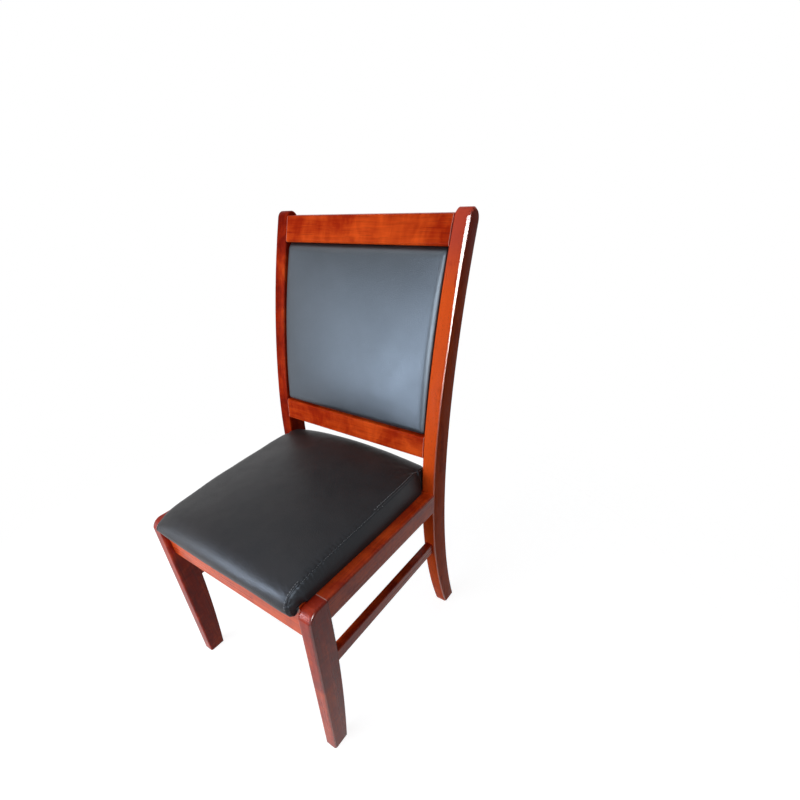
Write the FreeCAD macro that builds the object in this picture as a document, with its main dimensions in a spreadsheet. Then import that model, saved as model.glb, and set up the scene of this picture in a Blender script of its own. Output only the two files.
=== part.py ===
import FreeCAD, Part
import math
import os
import re
import Sketcher

# Four-legged wooden office chair with an upholstered seat and back.
# X runs across the chair, Y from the front to the back and Z up. The origin is on the floor,
# under the middle of the overall box. "right" is the +X side, seen from the front.

V = FreeCAD.Vector
UP = V(0, 0, 1)

# Driving dimensions, in millimetres
DIMENSIONS = [
    ("overall_width", 460, "outer face to outer face of the legs"),
    ("overall_depth", 540, "front of the feet to the rear of the raked post tops"),
    ("overall_height", 930, "floor to the top of the posts"),
    ("seat_frame_top", 421, "floor to the top of the seat rails"),
    ("leg_thickness", 29, "front leg, across the chair"),
    ("leg_foot_depth", 36, "front leg at the floor, front to back"),
    ("leg_lean", 13, "how far the front face of the leg leans back at its nose"),
    ("leg_back", 59, "chair front to the rear face of the leg at the rail"),
    ("leg_nose_height", 18, "height of the rounded nose of the leg"),
    ("leg_nose_length", 22, "length of the rounded nose of the leg"),
    ("leg_nose_radius", 25, "radius of the rounded nose of the leg"),
    ("post_thickness", 32, "rear post and side rail, across the chair"),
    ("post_waist_depth", 52, "rear post at its waist, front to back"),
    ("post_waist_height", 400, "floor to the waist of the rear post"),
    ("post_back_rake", 89, "rear face of the waist to the rear of the post top"),
    ("post_foot_rake", 63, "rear face of the waist to the rear of the foot"),
    ("post_foot_depth", 42, "rear foot, front to back"),
    ("post_front_bend_height", 570, "height where the front face starts its long upper bend"),
    ("post_front_bend_set", 13.6, "how far the front face has gone back there"),
    ("post_rear_bend_height", 633, "height where the rear face starts its long upper bend"),
    ("post_rear_bend_set", 19, "how far the rear face has gone back there"),
    ("post_top_radius", 17.5, "radius of the rounded post top"),
    ("side_rail_height", 49, "seat side rail and rear rail"),
    ("front_rail_height", 87, "front apron"),
    ("front_rail_set", 23, "chair front to the face of the front apron"),
    ("rail_thickness", 22, "front apron and rear rail, front to back"),
    ("rear_rail_set", 11, "front of the post to the face of the rear rail"),
    ("stretcher_thickness", 18, "side stretcher, across the chair"),
    ("stretcher_height", 29, "side stretcher, up"),
    ("stretcher_bottom", 238, "floor to the underside of the side stretcher"),
    ("stretcher_set", 8, "outer face of the leg to that of the stretcher"),
    ("back_rail_depth", 28, "back rails, front to back"),
    ("lower_rail_bottom", 500, "floor to the underside of the lower back rail"),
    ("lower_rail_height", 47, "lower back rail"),
    ("top_rail_bottom", 875, "floor to the underside of the top back rail"),
    ("top_rail_height", 47, "top back rail"),
    ("leg_arris", 5, "rounding of the long front edges of the legs"),
    ("post_arris", 3.5, "bevel on the long edges of the posts"),
    ("rail_arris", 4, "rounding of the visible long edges of the rails"),
    ("stretcher_arris", 2.5, "rounding of the long edges of the stretchers"),
    ("tenon_thickness", 8, "all tenons"),
    ("tenon_length", 16, "all tenons"),
    ("side_tenon_height", 30, "tenons of the side and rear rails"),
    ("front_tenon_height", 50, "tenons of the front apron"),
    ("stretcher_tenon_height", 17, "tenons of the stretchers"),
    ("back_tenon_height", 26, "tenons of the back rails"),
    ("tenon_clearance", 0.15, "glue gap round a tenon"),
    ("shoulder_clearance", 0.1, "gap at a shoulder against a curved face"),
    ("block_leg", 62, "corner block along each rail"),
    ("block_corner", 14, "cut-off corner of the corner block"),
    ("block_height", 24, "corner block, up"),
    ("block_screw_set", 12, "corner block screw from the tip of the block"),
    ("block_screw_length", 32, "corner block screw with its head"),
    ("block_screw_radius", 2, "corner block screw shank"),
    ("block_screw_head_radius", 4, "corner block screw head"),
    ("block_screw_head_height", 3, "corner block screw head"),
    ("screw_clearance", 0.15, "gap round a screw, pin or loose tenon"),
    ("seat_screw_set", 24, "seat screw from both rails"),
    ("seat_screw_radius", 2.5, "seat screw shank"),
    ("seat_screw_head_radius", 5, "seat screw head"),
    ("seat_screw_head_height", 3.5, "seat screw head"),
    ("seat_screw_bite", 10, "how far the seat screw goes into the seat board"),
    ("glide_radius", 11, "foot glide"),
    ("glide_thickness", 2, "foot glide below the foot"),
    ("glide_pin_width", 2.5, "square pin of the foot glide"),
    ("glide_pin_length", 14, "pin of the foot glide above the disc"),
    ("cushion_past_post", 26, "front of the posts to the rear of the cushion"),
    ("cushion_side_set", 22, "outer face of the side rail to the widest side of the cushion"),
    ("cushion_height", 59, "top of the rails to the crown of the cushion"),
    ("cushion_spread", 4, "how far the sides of the cushion spread from the seam down"),
    ("cushion_post_clearance", 1.2, "gap between the cushion and the posts"),
    ("cover_thickness", 1.5, "leatherette"),
    ("hem_width", 16, "cover turned under the seat board"),
    ("hem_gap", 0.6, "gap between the hem and the dust cover"),
    ("dust_cover_thickness", 0.9, "cloth under the seat board"),
    ("cloth_screw_gap", 8, "cut-off corner of the cloth past the seat screw"),
    ("seat_board_thickness", 12, "plywood under the seat foam"),
    ("seat_board_inset", 14, "cushion edge to the board edge, at the front and the sides"),
    ("back_pad_depth", 25, "front plane of the back to the rear face of the pad"),
    ("back_pad_crown", 14, "how far the middle of the back pad stands forward"),
    ("back_pad_gap", 0.5, "gap between the back pad and its frame"),
    ("back_pad_edge", 9, "rolled edge of the back pad"),
    ("back_board_thickness", 9, "plywood in the back pad"),
    ("back_key_width", 36, "loose tenon between the back board and a back rail, across"),
    ("back_key_thickness", 5, "loose tenon, front to back"),
    ("back_key_length", 24, "loose tenon, up"),
    ("back_key_spacing", 220, "two loose tenons of one rail"),
    ("overrun", 5, "how far every cut runs past the piece"),
]

# Cross-sections of the seat cushion, from the front to the back: place along the depth, half
# width, height of the side seam and height of the crown, as shares of the cushion's own sizes
CUSHION_SHARES = [
    (0.000, 0.952, 0.15, 0.19),
    (0.012, 0.958, 0.32, 0.40),
    (0.033, 0.960, 0.46, 0.60),
    (0.075, 0.960, 0.56, 0.78),
    (0.130, 0.960, 0.605, 0.88),
    (0.210, 0.962, 0.645, 0.94),
    (0.330, 0.966, 0.69, 0.98),
    (0.500, 0.972, 0.74, 1.00),
    (0.680, 0.970, 0.79, 1.00),
    (0.830, 0.966, 0.84, 1.00),
    (0.930, 0.962, 0.85, 0.97),
    (0.975, 0.961, 0.82, 0.91),
    (1.000, 0.960, 0.75, 0.79),
]

# How far the rolled edge of the back pad rises to its crown, and how full its corner is, as
# shares of the crown and of the rolled edge
ROLL_RISE_SHARE = 0.25
ROLL_CORNER_SHARE = 0.25

# Cross-sections of the back pad, from the bottom to the top: place up the pad, set-back of its
# edge as a share of the pad's depth, and crown as a share of the full crown
BACK_PAD_SHARES = [
    (0.000, 0.22, 0.30),
    (0.025, 0.07, 0.52),
    (0.090, 0.00, 0.76),
    (0.300, 0.00, 0.95),
    (0.560, 0.00, 1.00),
    (0.850, 0.00, 0.84),
    (0.972, 0.07, 0.52),
    (1.000, 0.22, 0.30),
]

doc = FreeCAD.newDocument("office_chair")
sheet = doc.addObject("Spreadsheet::Sheet", "Sizes")
for row, (alias, amount, meaning) in enumerate(DIMENSIONS, start=1):
    sheet.set("A%d" % row, alias)
    sheet.set("B%d" % row, str(amount))
    sheet.set("C%d" % row, meaning)
    sheet.setAlias("B%d" % row, alias)
doc.recompute()

pieces = []


def bound(text):
    """A formula in the names of the sheet, as an expression for a property."""
    return re.sub(r"\b[a-z][a-z_]*\b(?!\()", lambda found: "Sizes." + found.group(0), text)


def size(text):
    """The value of a formula in the names of the sheet."""
    return float(sheet.evalExpression(bound(text)))


def number(entry):
    """An entry of an outline as a number: it is a formula or a number already."""
    return size(entry) if isinstance(entry, str) else float(entry)


def keep(label, piece):
    """Name a finished sub-part and put it on the list of what is written."""
    piece.Label = label
    pieces.append(piece)
    return piece


# Outlines and solids

def edge_between(start, end, radius):
    """A straight edge, or an arc that turns left (radius over zero) or right (under zero)."""
    if radius == 0:
        return Part.LineSegment(start, end), 1
    chord = end - start
    middle = (start + end) * 0.5
    rise = math.sqrt(radius * radius - chord.Length * chord.Length / 4)
    left = UP.cross(chord).normalize()
    centre = middle + left * math.copysign(rise, radius)
    first, last = (start, end) if radius > 0 else (end, start)
    first_angle = math.atan2(first.y - centre.y, first.x - centre.x)
    last_angle = math.atan2(last.y - centre.y, last.x - centre.x)
    circle = Part.Circle(centre, UP, abs(radius))
    return Part.ArcOfCircle(circle, first_angle, last_angle), 1 if radius > 0 else 2


def outline(sketch, corners):
    """Close an outline through corners (across, up, radius of the edge that leaves the corner).

    Every corner gets its two distances from the origin and every arc its radius. Those that
    are formulas stay bound to the sheet."""
    points = [V(number(across), number(up), 0) for across, up, radius in corners]
    count = len(points)
    starts = []
    for place, (across, up, radius) in enumerate(corners):
        edge, start = edge_between(points[place], points[(place + 1) % count], number(radius))
        sketch.addGeometry(edge, False)
        starts.append(start)
    for place, (across, up, radius) in enumerate(corners):
        following = (place + 1) % count
        sketch.addConstraint(Sketcher.Constraint(
            "Coincident", place, 3 - starts[place], following, starts[following]))
        for kind, entry in (("DistanceX", across), ("DistanceY", up)):
            index = sketch.addConstraint(Sketcher.Constraint(
                kind, -1, 1, place, starts[place], number(entry)))
            if isinstance(entry, str):
                sketch.setExpression("Constraints[%d]" % index, bound(entry))
        if number(radius) != 0:
            index = sketch.addConstraint(Sketcher.Constraint(
                "Radius", place, abs(number(radius))))
            if isinstance(radius, str):
                sketch.setExpression("Constraints[%d]" % index, bound("abs(%s)" % radius))


def padded_body(name, role, level, corners, length):
    """A body with one outline on an origin plane moved to a level, padded by a length."""
    body = doc.addObject("PartDesign::Body", name)
    plane = next(item for item in body.Origin.OriginFeatures if item.Role == role)
    sketch = body.newObject("Sketcher::SketchObject", name + "_outline")
    sketch.AttachmentSupport = [(plane, "")]
    sketch.MapMode = "FlatFace"
    sketch.setExpression("AttachmentOffset.Base.z", bound(level))
    outline(sketch, corners)
    pad = body.newObject("PartDesign::Pad", name + "_pad")
    pad.Profile = sketch
    pad.setExpression("Length", bound(length))
    doc.recompute()
    return body


def side_view_body(name, side, inner, thickness, corners):
    """A body drawn in the side view. inner is the distance of its inner face from the middle."""
    level = inner if side > 0 else "-(%s) - (%s)" % (inner, thickness)
    return padded_body(name, "YZ_Plane", level, corners, thickness)


def section_body(name, half_length, corners):
    """A rail that runs across the chair, drawn as its cross-section."""
    return padded_body(name, "YZ_Plane", "-(%s)" % half_length, corners, "2 * (%s)" % half_length)


def treated(body, kind, quality, amount, wanted):
    """Round or bevel the edges of a body that the test picks."""
    base = body.Tip
    names = ["Edge%d" % place for place, edge in enumerate(base.Shape.Edges, start=1)
             if wanted(edge)]
    treatment = body.newObject(kind, body.Name + "_eased")
    treatment.Base = (base, names)
    treatment.setExpression(quality, bound(amount))
    doc.recompute()
    return body


def eased(body, radius, wanted):
    return treated(body, "PartDesign::Fillet", "Radius", radius, wanted)


def bevelled(body, width, wanted):
    return treated(body, "PartDesign::Chamfer", "Size", width, wanted)


def box(name, corner, sizes):
    """A box whose corner and sizes are formulas."""
    solid = doc.addObject("Part::Box", name)
    for axis, text in zip("xyz", corner):
        solid.setExpression("Placement.Base." + axis, bound(text))
    for quality, text in zip(("Length", "Width", "Height"), sizes):
        solid.setExpression(quality, bound(text))
    return solid


def rod(name, start, direction, radius, length):
    """A cylinder from a point along a direction, with its radius and length as formulas."""
    solid = doc.addObject("Part::Cylinder", name)
    solid.setExpression("Radius", bound(radius))
    solid.setExpression("Height", bound(length))
    solid.Placement = FreeCAD.Placement(start, FreeCAD.Rotation(UP, direction))
    return solid


def hexagon(name, start, direction, radius, length):
    """A hexagonal prism, with the radius to its corners and its length as formulas."""
    solid = doc.addObject("Part::Prism", name)
    solid.setExpression("Circumradius", bound(radius))
    solid.setExpression("Height", bound(length))
    solid.Placement = FreeCAD.Placement(start, FreeCAD.Rotation(UP, direction))
    return solid


def fused(name, solids):
    union = doc.addObject("Part::MultiFuse", name)
    union.Shapes = solids
    return union


def cut(name, base, tools):
    """What is left of a piece when all the tools are taken out of it."""
    left = doc.addObject("Part::Cut", name)
    left.Base = base
    left.Tool = tools[0] if len(tools) == 1 else fused(name + "_tools", tools)
    return left


def group(name, solids):
    """Identical fasteners as one sub-part of separate solids."""
    compound = doc.addObject("Part::Compound", name)
    compound.Links = solids
    return compound


SIDES = (("right", 1), ("left", -1))
FRONT = "-overall_depth / 2"
BACK = "overall_depth / 2"
OUTER = "overall_width / 2"
LEG_INNER = "overall_width / 2 - leg_thickness"
POST_INNER = "overall_width / 2 - post_thickness"
LEG_BACK = "-overall_depth / 2 + leg_back"
WAIST_REAR = "overall_depth / 2 - post_back_rake"
WAIST_FRONT = "overall_depth / 2 - post_back_rake - post_waist_depth"
SIDE_RAIL_BOTTOM = "seat_frame_top - side_rail_height"
CUSHION_DEPTH = "overall_depth - post_back_rake - post_waist_depth + cushion_past_post"
CUSHION_HALF_WIDTH = "overall_width / 2 - cushion_side_set"


# Curved faces of the legs and posts

TOP_ROUNDS = 30


class Curve:
    """A face of a post in the side view: arcs one above the other, all bent to the back."""

    def __init__(self):
        self.arcs = []

    def add(self, bottom, top, centre_y, centre_z, radius):
        self.arcs.append((bottom, top, centre_y, centre_z, radius))

    def set_at(self, level):
        """Y of the face at a level."""
        for bottom, top, centre_y, centre_z, radius in self.arcs:
            if level <= top:
                break
        return centre_y - math.sqrt(radius ** 2 - (level - centre_z) ** 2)

    def slope_at(self, level):
        """How fast Y grows with the level."""
        for bottom, top, centre_y, centre_z, radius in self.arcs:
            if level <= top:
                break
        return (level - centre_z) / math.sqrt(radius ** 2 - (level - centre_z) ** 2)


def upright_arc_radius(run, rise):
    """Radius of an arc that is upright at one end and has gone a run over a rise."""
    return (run * run + rise * rise) / (2 * run)


def post_top_end(facing, bend, lean):
    """Where a face of the post meets its round top, with no corner between them.

    facing is -1 for the front face and 1 for the rear face. The lean of the face at the top
    follows from where it ends, so the point is found in rounds."""
    radius = size("post_top_radius")
    centre = V(size(BACK) - radius, size("overall_height") - radius, 0)
    top_lean = lean
    for attempt in range(TOP_ROUNDS):
        end = centre + V(math.cos(top_lean), -math.sin(top_lean), 0) * (facing * radius)
        chord = end - bend
        top_lean = 2 * math.atan2(chord.x, chord.y) - lean
    return end


def post_curve(facing, waist_y, foot_y, bend_set, bend_level):
    """A face that is upright at the waist, with one arc below it and two above it."""
    floor = size("glide_thickness")
    waist = size("post_waist_height")
    curve = Curve()
    low_radius = upright_arc_radius(foot_y - waist_y, waist - floor)
    curve.add(floor, waist, waist_y + low_radius, waist, low_radius)
    middle_radius = upright_arc_radius(bend_set, bend_level - waist)
    curve.add(waist, bend_level, waist_y + middle_radius, waist, middle_radius)
    bend = V(waist_y + bend_set, bend_level, 0)
    lean = math.asin((bend_level - waist) / middle_radius)
    end = post_top_end(facing, bend, lean)
    chord = end - bend
    turn = math.atan2(chord.x, chord.y) - lean
    top_radius = chord.Length / (2 * math.sin(turn))
    centre_y = bend.x + top_radius * math.cos(lean)
    centre_z = bend.y - top_radius * math.sin(lean)
    curve.add(bend_level, end.y, centre_y, centre_z, top_radius)
    return curve


foot_rear = size(WAIST_REAR + " + post_foot_rake")
foot_front = foot_rear - size("post_foot_depth")
post_front = post_curve(-1, size(WAIST_FRONT), foot_front, size("post_front_bend_set"),
                        size("post_front_bend_height"))
post_rear = post_curve(1, size(WAIST_REAR), foot_rear, size("post_rear_bend_set"),
                       size("post_rear_bend_height"))


def leg_rear_at(level):
    """Y of the curved rear face of the front leg at a level under the side rail."""
    run = size("leg_back - leg_foot_depth")
    rise = size(SIDE_RAIL_BOTTOM + " - glide_thickness")
    radius = upright_arc_radius(run, rise)
    drop = size(SIDE_RAIL_BOTTOM) - level
    return size(LEG_BACK) - radius + math.sqrt(radius * radius - drop * drop)


# Tenons, each as the corner and the sizes of its box on the right-hand side. The mortise is the
# same box with the glue gap all round.

def across(side, start, length):
    """Where a stretch from start outwards begins along X, on either side of the chair."""
    return start if side > 0 else "-(%s) - (%s)" % (start, length)


def level_text(value):
    """A worked-out place as text for a formula."""
    return "%.6f" % value


RAIL_MIDDLE_Z = "seat_frame_top - side_rail_height / 2"
SIDE_TENON_X = "overall_width / 2 - post_thickness / 2 - tenon_thickness / 2"
STRETCHER_X = "overall_width / 2 - stretcher_set - stretcher_thickness"
STRETCHER_TENON_X = STRETCHER_X + " + stretcher_thickness / 2 - tenon_thickness / 2"
STRETCHER_MIDDLE_Z = "stretcher_bottom + stretcher_height / 2"

stretcher_middle = size(STRETCHER_MIDDLE_Z)
stretcher_front_end = leg_rear_at(size("stretcher_bottom"))
stretcher_rear_end = post_front.set_at(size("stretcher_bottom + stretcher_height"))
lower_rail_middle = size("lower_rail_bottom + lower_rail_height / 2")
top_rail_middle = size("top_rail_bottom + top_rail_height / 2")


def tenon_places():
    """Corner and sizes of every kind of tenon, before it is put on a side."""
    thickness = "tenon_thickness"
    length = "tenon_length"
    half = " - tenon_thickness / 2"
    places = {}
    places["side_rail_front"] = (
        SIDE_TENON_X, LEG_BACK + " - tenon_length",
        RAIL_MIDDLE_Z + " - side_tenon_height / 2",
        thickness, length, "side_tenon_height")
    places["side_rail_rear"] = (
        SIDE_TENON_X, WAIST_FRONT,
        RAIL_MIDDLE_Z + " - side_tenon_height / 2",
        thickness, length, "side_tenon_height")
    places["front_rail"] = (
        LEG_INNER, FRONT + " + front_rail_set + rail_thickness / 2" + half,
        "seat_frame_top - front_rail_height / 2 - front_tenon_height / 2",
        length, thickness, "front_tenon_height")
    places["rear_rail"] = (
        POST_INNER, WAIST_FRONT + " + rear_rail_set + rail_thickness / 2" + half,
        RAIL_MIDDLE_Z + " - side_tenon_height / 2",
        length, thickness, "side_tenon_height")
    places["stretcher_front"] = (
        STRETCHER_TENON_X, level_text(stretcher_front_end) + " - tenon_length",
        STRETCHER_MIDDLE_Z + " - stretcher_tenon_height / 2",
        thickness, length, "stretcher_tenon_height")
    places["stretcher_rear"] = (
        STRETCHER_TENON_X, level_text(stretcher_rear_end),
        STRETCHER_MIDDLE_Z + " - stretcher_tenon_height / 2",
        thickness, length, "stretcher_tenon_height")
    for name, middle in (("lower_back_rail", lower_rail_middle),
                         ("top_back_rail", top_rail_middle)):
        face = level_text(post_front.set_at(middle))
        places[name] = (
            POST_INNER, face + " + back_rail_depth / 2" + half,
            level_text(middle) + " - back_tenon_height / 2",
            length, thickness, "back_tenon_height")
    return places


TENONS = tenon_places()


def tenon(kind, side, root=""):
    """A tenon on one side. root is where it grows out of the rail, past its shoulder."""
    x, y, z, wide, deep, high = TENONS[kind]
    name = "%s_tenon_%s" % (kind, "right" if side > 0 else "left")
    reach = " + overrun"
    if root == "across":
        start = x + " - overrun"
        return box(name, (across(side, start, wide + reach), y, z), (wide + reach, deep, high))
    if root == "behind":
        return box(name, (across(side, x, wide), y, z), (wide, deep + reach, high))
    return box(name, (across(side, x, wide), y + " - overrun", z), (wide, deep + reach, high))


def mortise(kind, side):
    """The pocket for a tenon, larger by the glue gap."""
    x, y, z, wide, deep, high = TENONS[kind]
    name = "%s_mortise_%s" % (kind, "right" if side > 0 else "left")
    gap = "tenon_clearance"
    corner = (across(side, x, wide) + " - " + gap, y + " - " + gap, z + " - " + gap)
    grown = tuple("%s + 2 * %s" % (text, gap) for text in (wide, deep, high))
    return box(name, corner, grown)


def flat_in_x(edge):
    """True for an edge that lies in one side face of a leg, post or side piece."""
    return edge.BoundBox.XLength < size("shoulder_clearance")


def runs_along(edge, axis):
    bounds = edge.BoundBox
    lengths = {"X": bounds.XLength, "Y": bounds.YLength, "Z": bounds.ZLength}
    return lengths.pop(axis) > 0 and max(lengths.values()) < size("shoulder_clearance")


# Foot glides

def foot_middle(kind, side):
    """Middle of a foot on the floor."""
    if kind == "front":
        y = size(FRONT + " + leg_foot_depth / 2")
        x = size(OUTER + " - leg_thickness / 2")
    else:
        y = foot_rear - size("post_foot_depth / 2")
        x = size(OUTER + " - post_thickness / 2")
    return V(side * x, y, 0)


def square_pin(name, kind, side, gap):
    """The pin of a glide, or its hole when a gap is added all round."""
    foot = foot_middle(kind, side)
    wide = "glide_pin_width" + (" + 2 * " + gap if gap else "")
    high = "glide_thickness + glide_pin_length" + (" + " + gap if gap else "")
    corner = ("%s - (%s) / 2" % (level_text(foot.x), wide),
              "%s - (%s) / 2" % (level_text(foot.y), wide), "0")
    return box(name, corner, (wide, wide, high))


def glide(kind, side, name):
    """A nylon disc with a square pin that is driven into the foot."""
    disc = rod(name + "_disc", foot_middle(kind, side), UP, "glide_radius", "glide_thickness")
    return fused(name, [disc, square_pin(name + "_pin", kind, side, "")])


def pin_hole(kind, side):
    return square_pin("%s_pin_hole" % kind, kind, side, "screw_clearance")


# Legs and posts

def leg_body(label, side):
    """Front leg: a raked front face, a rounded nose under the cushion and a hollow rear face."""
    rear_radius = upright_arc_radius(size("leg_back - leg_foot_depth"),
                                     size(SIDE_RAIL_BOTTOM + " - glide_thickness"))
    corners = [
        (FRONT, "glide_thickness", 0),
        (FRONT + " + leg_lean", "seat_frame_top - leg_nose_height", "-leg_nose_radius"),
        (FRONT + " + leg_lean + leg_nose_length", "seat_frame_top", 0),
        (LEG_BACK, "seat_frame_top", 0),
        (LEG_BACK, SIDE_RAIL_BOTTOM, -rear_radius),
        (FRONT + " + leg_foot_depth", "glide_thickness", 0),
    ]
    body = side_view_body(label + "_blank", side, LEG_INNER, "leg_thickness", corners)
    foot = size("glide_thickness + overrun")
    return eased(body, "leg_arris",
                 lambda edge: flat_in_x(edge) and edge.BoundBox.ZMax > foot
                 and edge.BoundBox.YMax < size(LEG_BACK) - size("shoulder_clearance")
                 and edge.BoundBox.YMin < size(FRONT + " + leg_lean + shoulder_clearance"))


def post_corners():
    """Outline of the rear post: up its front face, round the top and down its rear face."""
    corners = []
    for bottom, top, centre_y, centre_z, radius in post_front.arcs:
        corners.append((post_front.set_at(bottom), bottom, -radius))
    front_end = post_front.arcs[-1][1]
    corners.append((post_front.set_at(front_end), front_end, "-post_top_radius"))
    for bottom, top, centre_y, centre_z, radius in reversed(post_rear.arcs):
        corners.append((post_rear.set_at(top), top, radius))
    corners.append((foot_rear, "glide_thickness", 0))
    return corners


def post_body(label, side):
    """Rear leg and back post in one sabre-curved piece, thickest at the seat."""
    body = side_view_body(label + "_blank", side, POST_INNER, "post_thickness", post_corners())
    foot = size("glide_thickness + overrun")
    return bevelled(body, "post_arris",
                    lambda edge: flat_in_x(edge) and edge.BoundBox.ZMax > foot)


# Rails and stretchers

def side_rail_body(label, side):
    corners = [
        (LEG_BACK, SIDE_RAIL_BOTTOM, 0),
        (WAIST_FRONT + " - shoulder_clearance", SIDE_RAIL_BOTTOM, 0),
        (WAIST_FRONT + " - shoulder_clearance", "seat_frame_top", 0),
        (LEG_BACK, "seat_frame_top", 0),
    ]
    body = side_view_body(label + "_blank", side, POST_INNER, "post_thickness", corners)
    middle = size(OUTER + " - post_thickness / 2")
    return eased(body, "rail_arris",
                 lambda edge: runs_along(edge, "Y") and abs(edge.BoundBox.XMax) > middle
                 and abs(edge.BoundBox.XMin) > middle)


def stretcher_body(label, side):
    """Side stretcher: its shoulders follow the hollow leg and the curved post."""
    bottom = size("stretcher_bottom")
    top = size("stretcher_bottom + stretcher_height")
    gap = size("shoulder_clearance")
    corners = [
        (leg_rear_at(bottom) + gap, "stretcher_bottom", 0),
        (post_front.set_at(bottom) - gap, "stretcher_bottom", 0),
        (post_front.set_at(top) - gap, "stretcher_bottom + stretcher_height", 0),
        (leg_rear_at(top) + gap, "stretcher_bottom + stretcher_height", 0),
    ]
    body = side_view_body(label + "_blank", side, STRETCHER_X, "stretcher_thickness", corners)
    return eased(body, "stretcher_arris", lambda edge: runs_along(edge, "Y"))


def back_rail_body(label, bottom, height):
    """A back rail whose faces follow the lean of the posts."""
    low = post_front.set_at(size(bottom))
    high = post_front.set_at(size("%s + %s" % (bottom, height)))
    depth = size("back_rail_depth")
    corners = [
        (low, bottom, 0),
        (low + depth, bottom, 0),
        (high + depth, "%s + %s" % (bottom, height), 0),
        (high, "%s + %s" % (bottom, height), 0),
    ]
    body = section_body(label + "_blank", POST_INNER, corners)
    return eased(body, "rail_arris", lambda edge: runs_along(edge, "X"))


def seat_rail_body(label, half_length, face, height):
    """Front apron or rear rail of the seat frame."""
    back_face = face + " + rail_thickness"
    bottom = "seat_frame_top - " + height
    corners = [
        (face, bottom, 0),
        (back_face, bottom, 0),
        (back_face, "seat_frame_top", 0),
        (face, "seat_frame_top", 0),
    ]
    body = section_body(label + "_blank", half_length, corners)
    return eased(body, "stretcher_arris",
                 lambda edge: runs_along(edge, "X")
                 and edge.BoundBox.ZMax < size("seat_frame_top - overrun"))


FRONT_RAIL_FACE = FRONT + " + front_rail_set"
REAR_RAIL_FACE = WAIST_FRONT + " + rear_rail_set"


# Corner blocks and their screws

CORNERS = [("front_right", 1, 1), ("front_left", -1, 1),
           ("rear_right", 1, -1), ("rear_left", -1, -1)]


def block_corner_y(inward):
    """Y of the rail face that a corner block is glued to."""
    return size(FRONT_RAIL_FACE + " + rail_thickness") if inward > 0 else size(REAR_RAIL_FACE)


def block_point(side, inward, from_side, from_rail, level):
    """A point given by its distance from the side rail and from the front or rear rail."""
    x = side * (size(POST_INNER) - from_side)
    return V(x, block_corner_y(inward) + inward * from_rail, level)


def block_body(label, side, inward):
    """Corner block in plan: two glued faces, a long slanting face and a cut-off corner."""
    leg = size("block_leg")
    tip = size("block_corner")
    places = [(leg, 0), (tip, 0), (0, tip), (0, leg)]
    points = [block_point(side, inward, along, out, 0) for along, out in places]
    corners = [(point.x, point.y, 0) for point in points]
    return padded_body(label + "_blank", "XY_Plane", "seat_frame_top - block_height", corners,
                       "block_height")


def block_screws(side, inward):
    """Start and direction of the two slanting screws of a corner block."""
    level = size("seat_frame_top - block_height / 2")
    near = size("block_screw_set")
    far = size("block_leg - block_screw_set")
    direction = V(side, -inward, 0).normalize()
    return [(block_point(side, inward, along, out, level), direction)
            for along, out in ((far, near), (near, far))]


def seat_screw_place(side, inward, level):
    return block_point(side, inward, size("seat_screw_set"), size("seat_screw_set"), size(level))


BOARD_BOTTOM = "seat_frame_top + cover_thickness"


def block_screw(name, start, direction):
    outside = start - direction * size("block_screw_head_height")
    head = hexagon(name + "_head", outside, direction, "block_screw_head_radius",
                   "block_screw_head_height")
    shank = rod(name + "_shank", outside, direction, "block_screw_radius",
                "block_screw_length")
    return fused(name, [head, shank])


def block_screw_hole(name, start, direction):
    outside = start - direction * size("overrun")
    return rod(name + "_hole", outside, direction, "block_screw_radius + screw_clearance",
               "overrun + block_screw_length - block_screw_head_height + screw_clearance")


def seat_screw(name, side, inward):
    """Screw from under a corner block up into the seat board."""
    under = seat_screw_place(side, inward,
                             "seat_frame_top - block_height - seat_screw_head_height")
    head = hexagon(name + "_head", under, UP, "seat_screw_head_radius",
                   "seat_screw_head_height")
    shank = rod(name + "_shank", under, UP, "seat_screw_radius",
                "seat_screw_head_height + block_height + cover_thickness + seat_screw_bite")
    return fused(name, [head, shank])


def seat_screw_holes(name, bottom, height):
    """One upright hole at each seat screw."""
    return [rod("%s_%s" % (name, corner), seat_screw_place(side, inward, bottom), UP,
                "seat_screw_radius + screw_clearance", height)
            for corner, side, inward in CORNERS]


# Soft forms

def wire(points, bends):
    """A closed wire through points. A bend is the point that the arc from there passes."""
    edges = []
    for place, start in enumerate(points):
        end = points[(place + 1) % len(points)]
        if bends[place] is None:
            edges.append(Part.LineSegment(start, end).toShape())
        else:
            edges.append(Part.Arc(start, bends[place], end).toShape())
    return Part.Wire(edges)


def feature(name, shape):
    """A sub-part or tool whose shape is worked out here."""
    item = doc.addObject("Part::Feature", name)
    item.Shape = shape
    return item


def cushion_section(row, skin):
    """Sizes of one cross-section of the seat cushion, with a skin taken off all round."""
    along_share, width_share, seam_share, crown_share = row
    y = size(FRONT) + skin + along_share * (size(CUSHION_DEPTH) - 2 * skin)
    half_width = width_share * size(CUSHION_HALF_WIDTH) - skin
    bottom = size("seat_frame_top") + skin
    seam = size("seat_frame_top") + seam_share * size("cushion_height") - skin
    crown = size("seat_frame_top") + crown_share * size("cushion_height") - skin
    return y, half_width, bottom, seam, crown


def cushion_solid(skin):
    """Crowned cushion with sides that lean inward and a rounded front edge."""
    wires = []
    for row in CUSHION_SHARES:
        y, half_width, bottom, seam, crown = cushion_section(row, skin)
        low = half_width + size("cushion_spread")
        points = [V(-low, y, bottom), V(low, y, bottom),
                  V(half_width, y, seam), V(-half_width, y, seam)]
        wires.append(wire(points, [None, None, V(0, y, crown), None]))
    return Part.makeLoft(wires, True, True)


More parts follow.
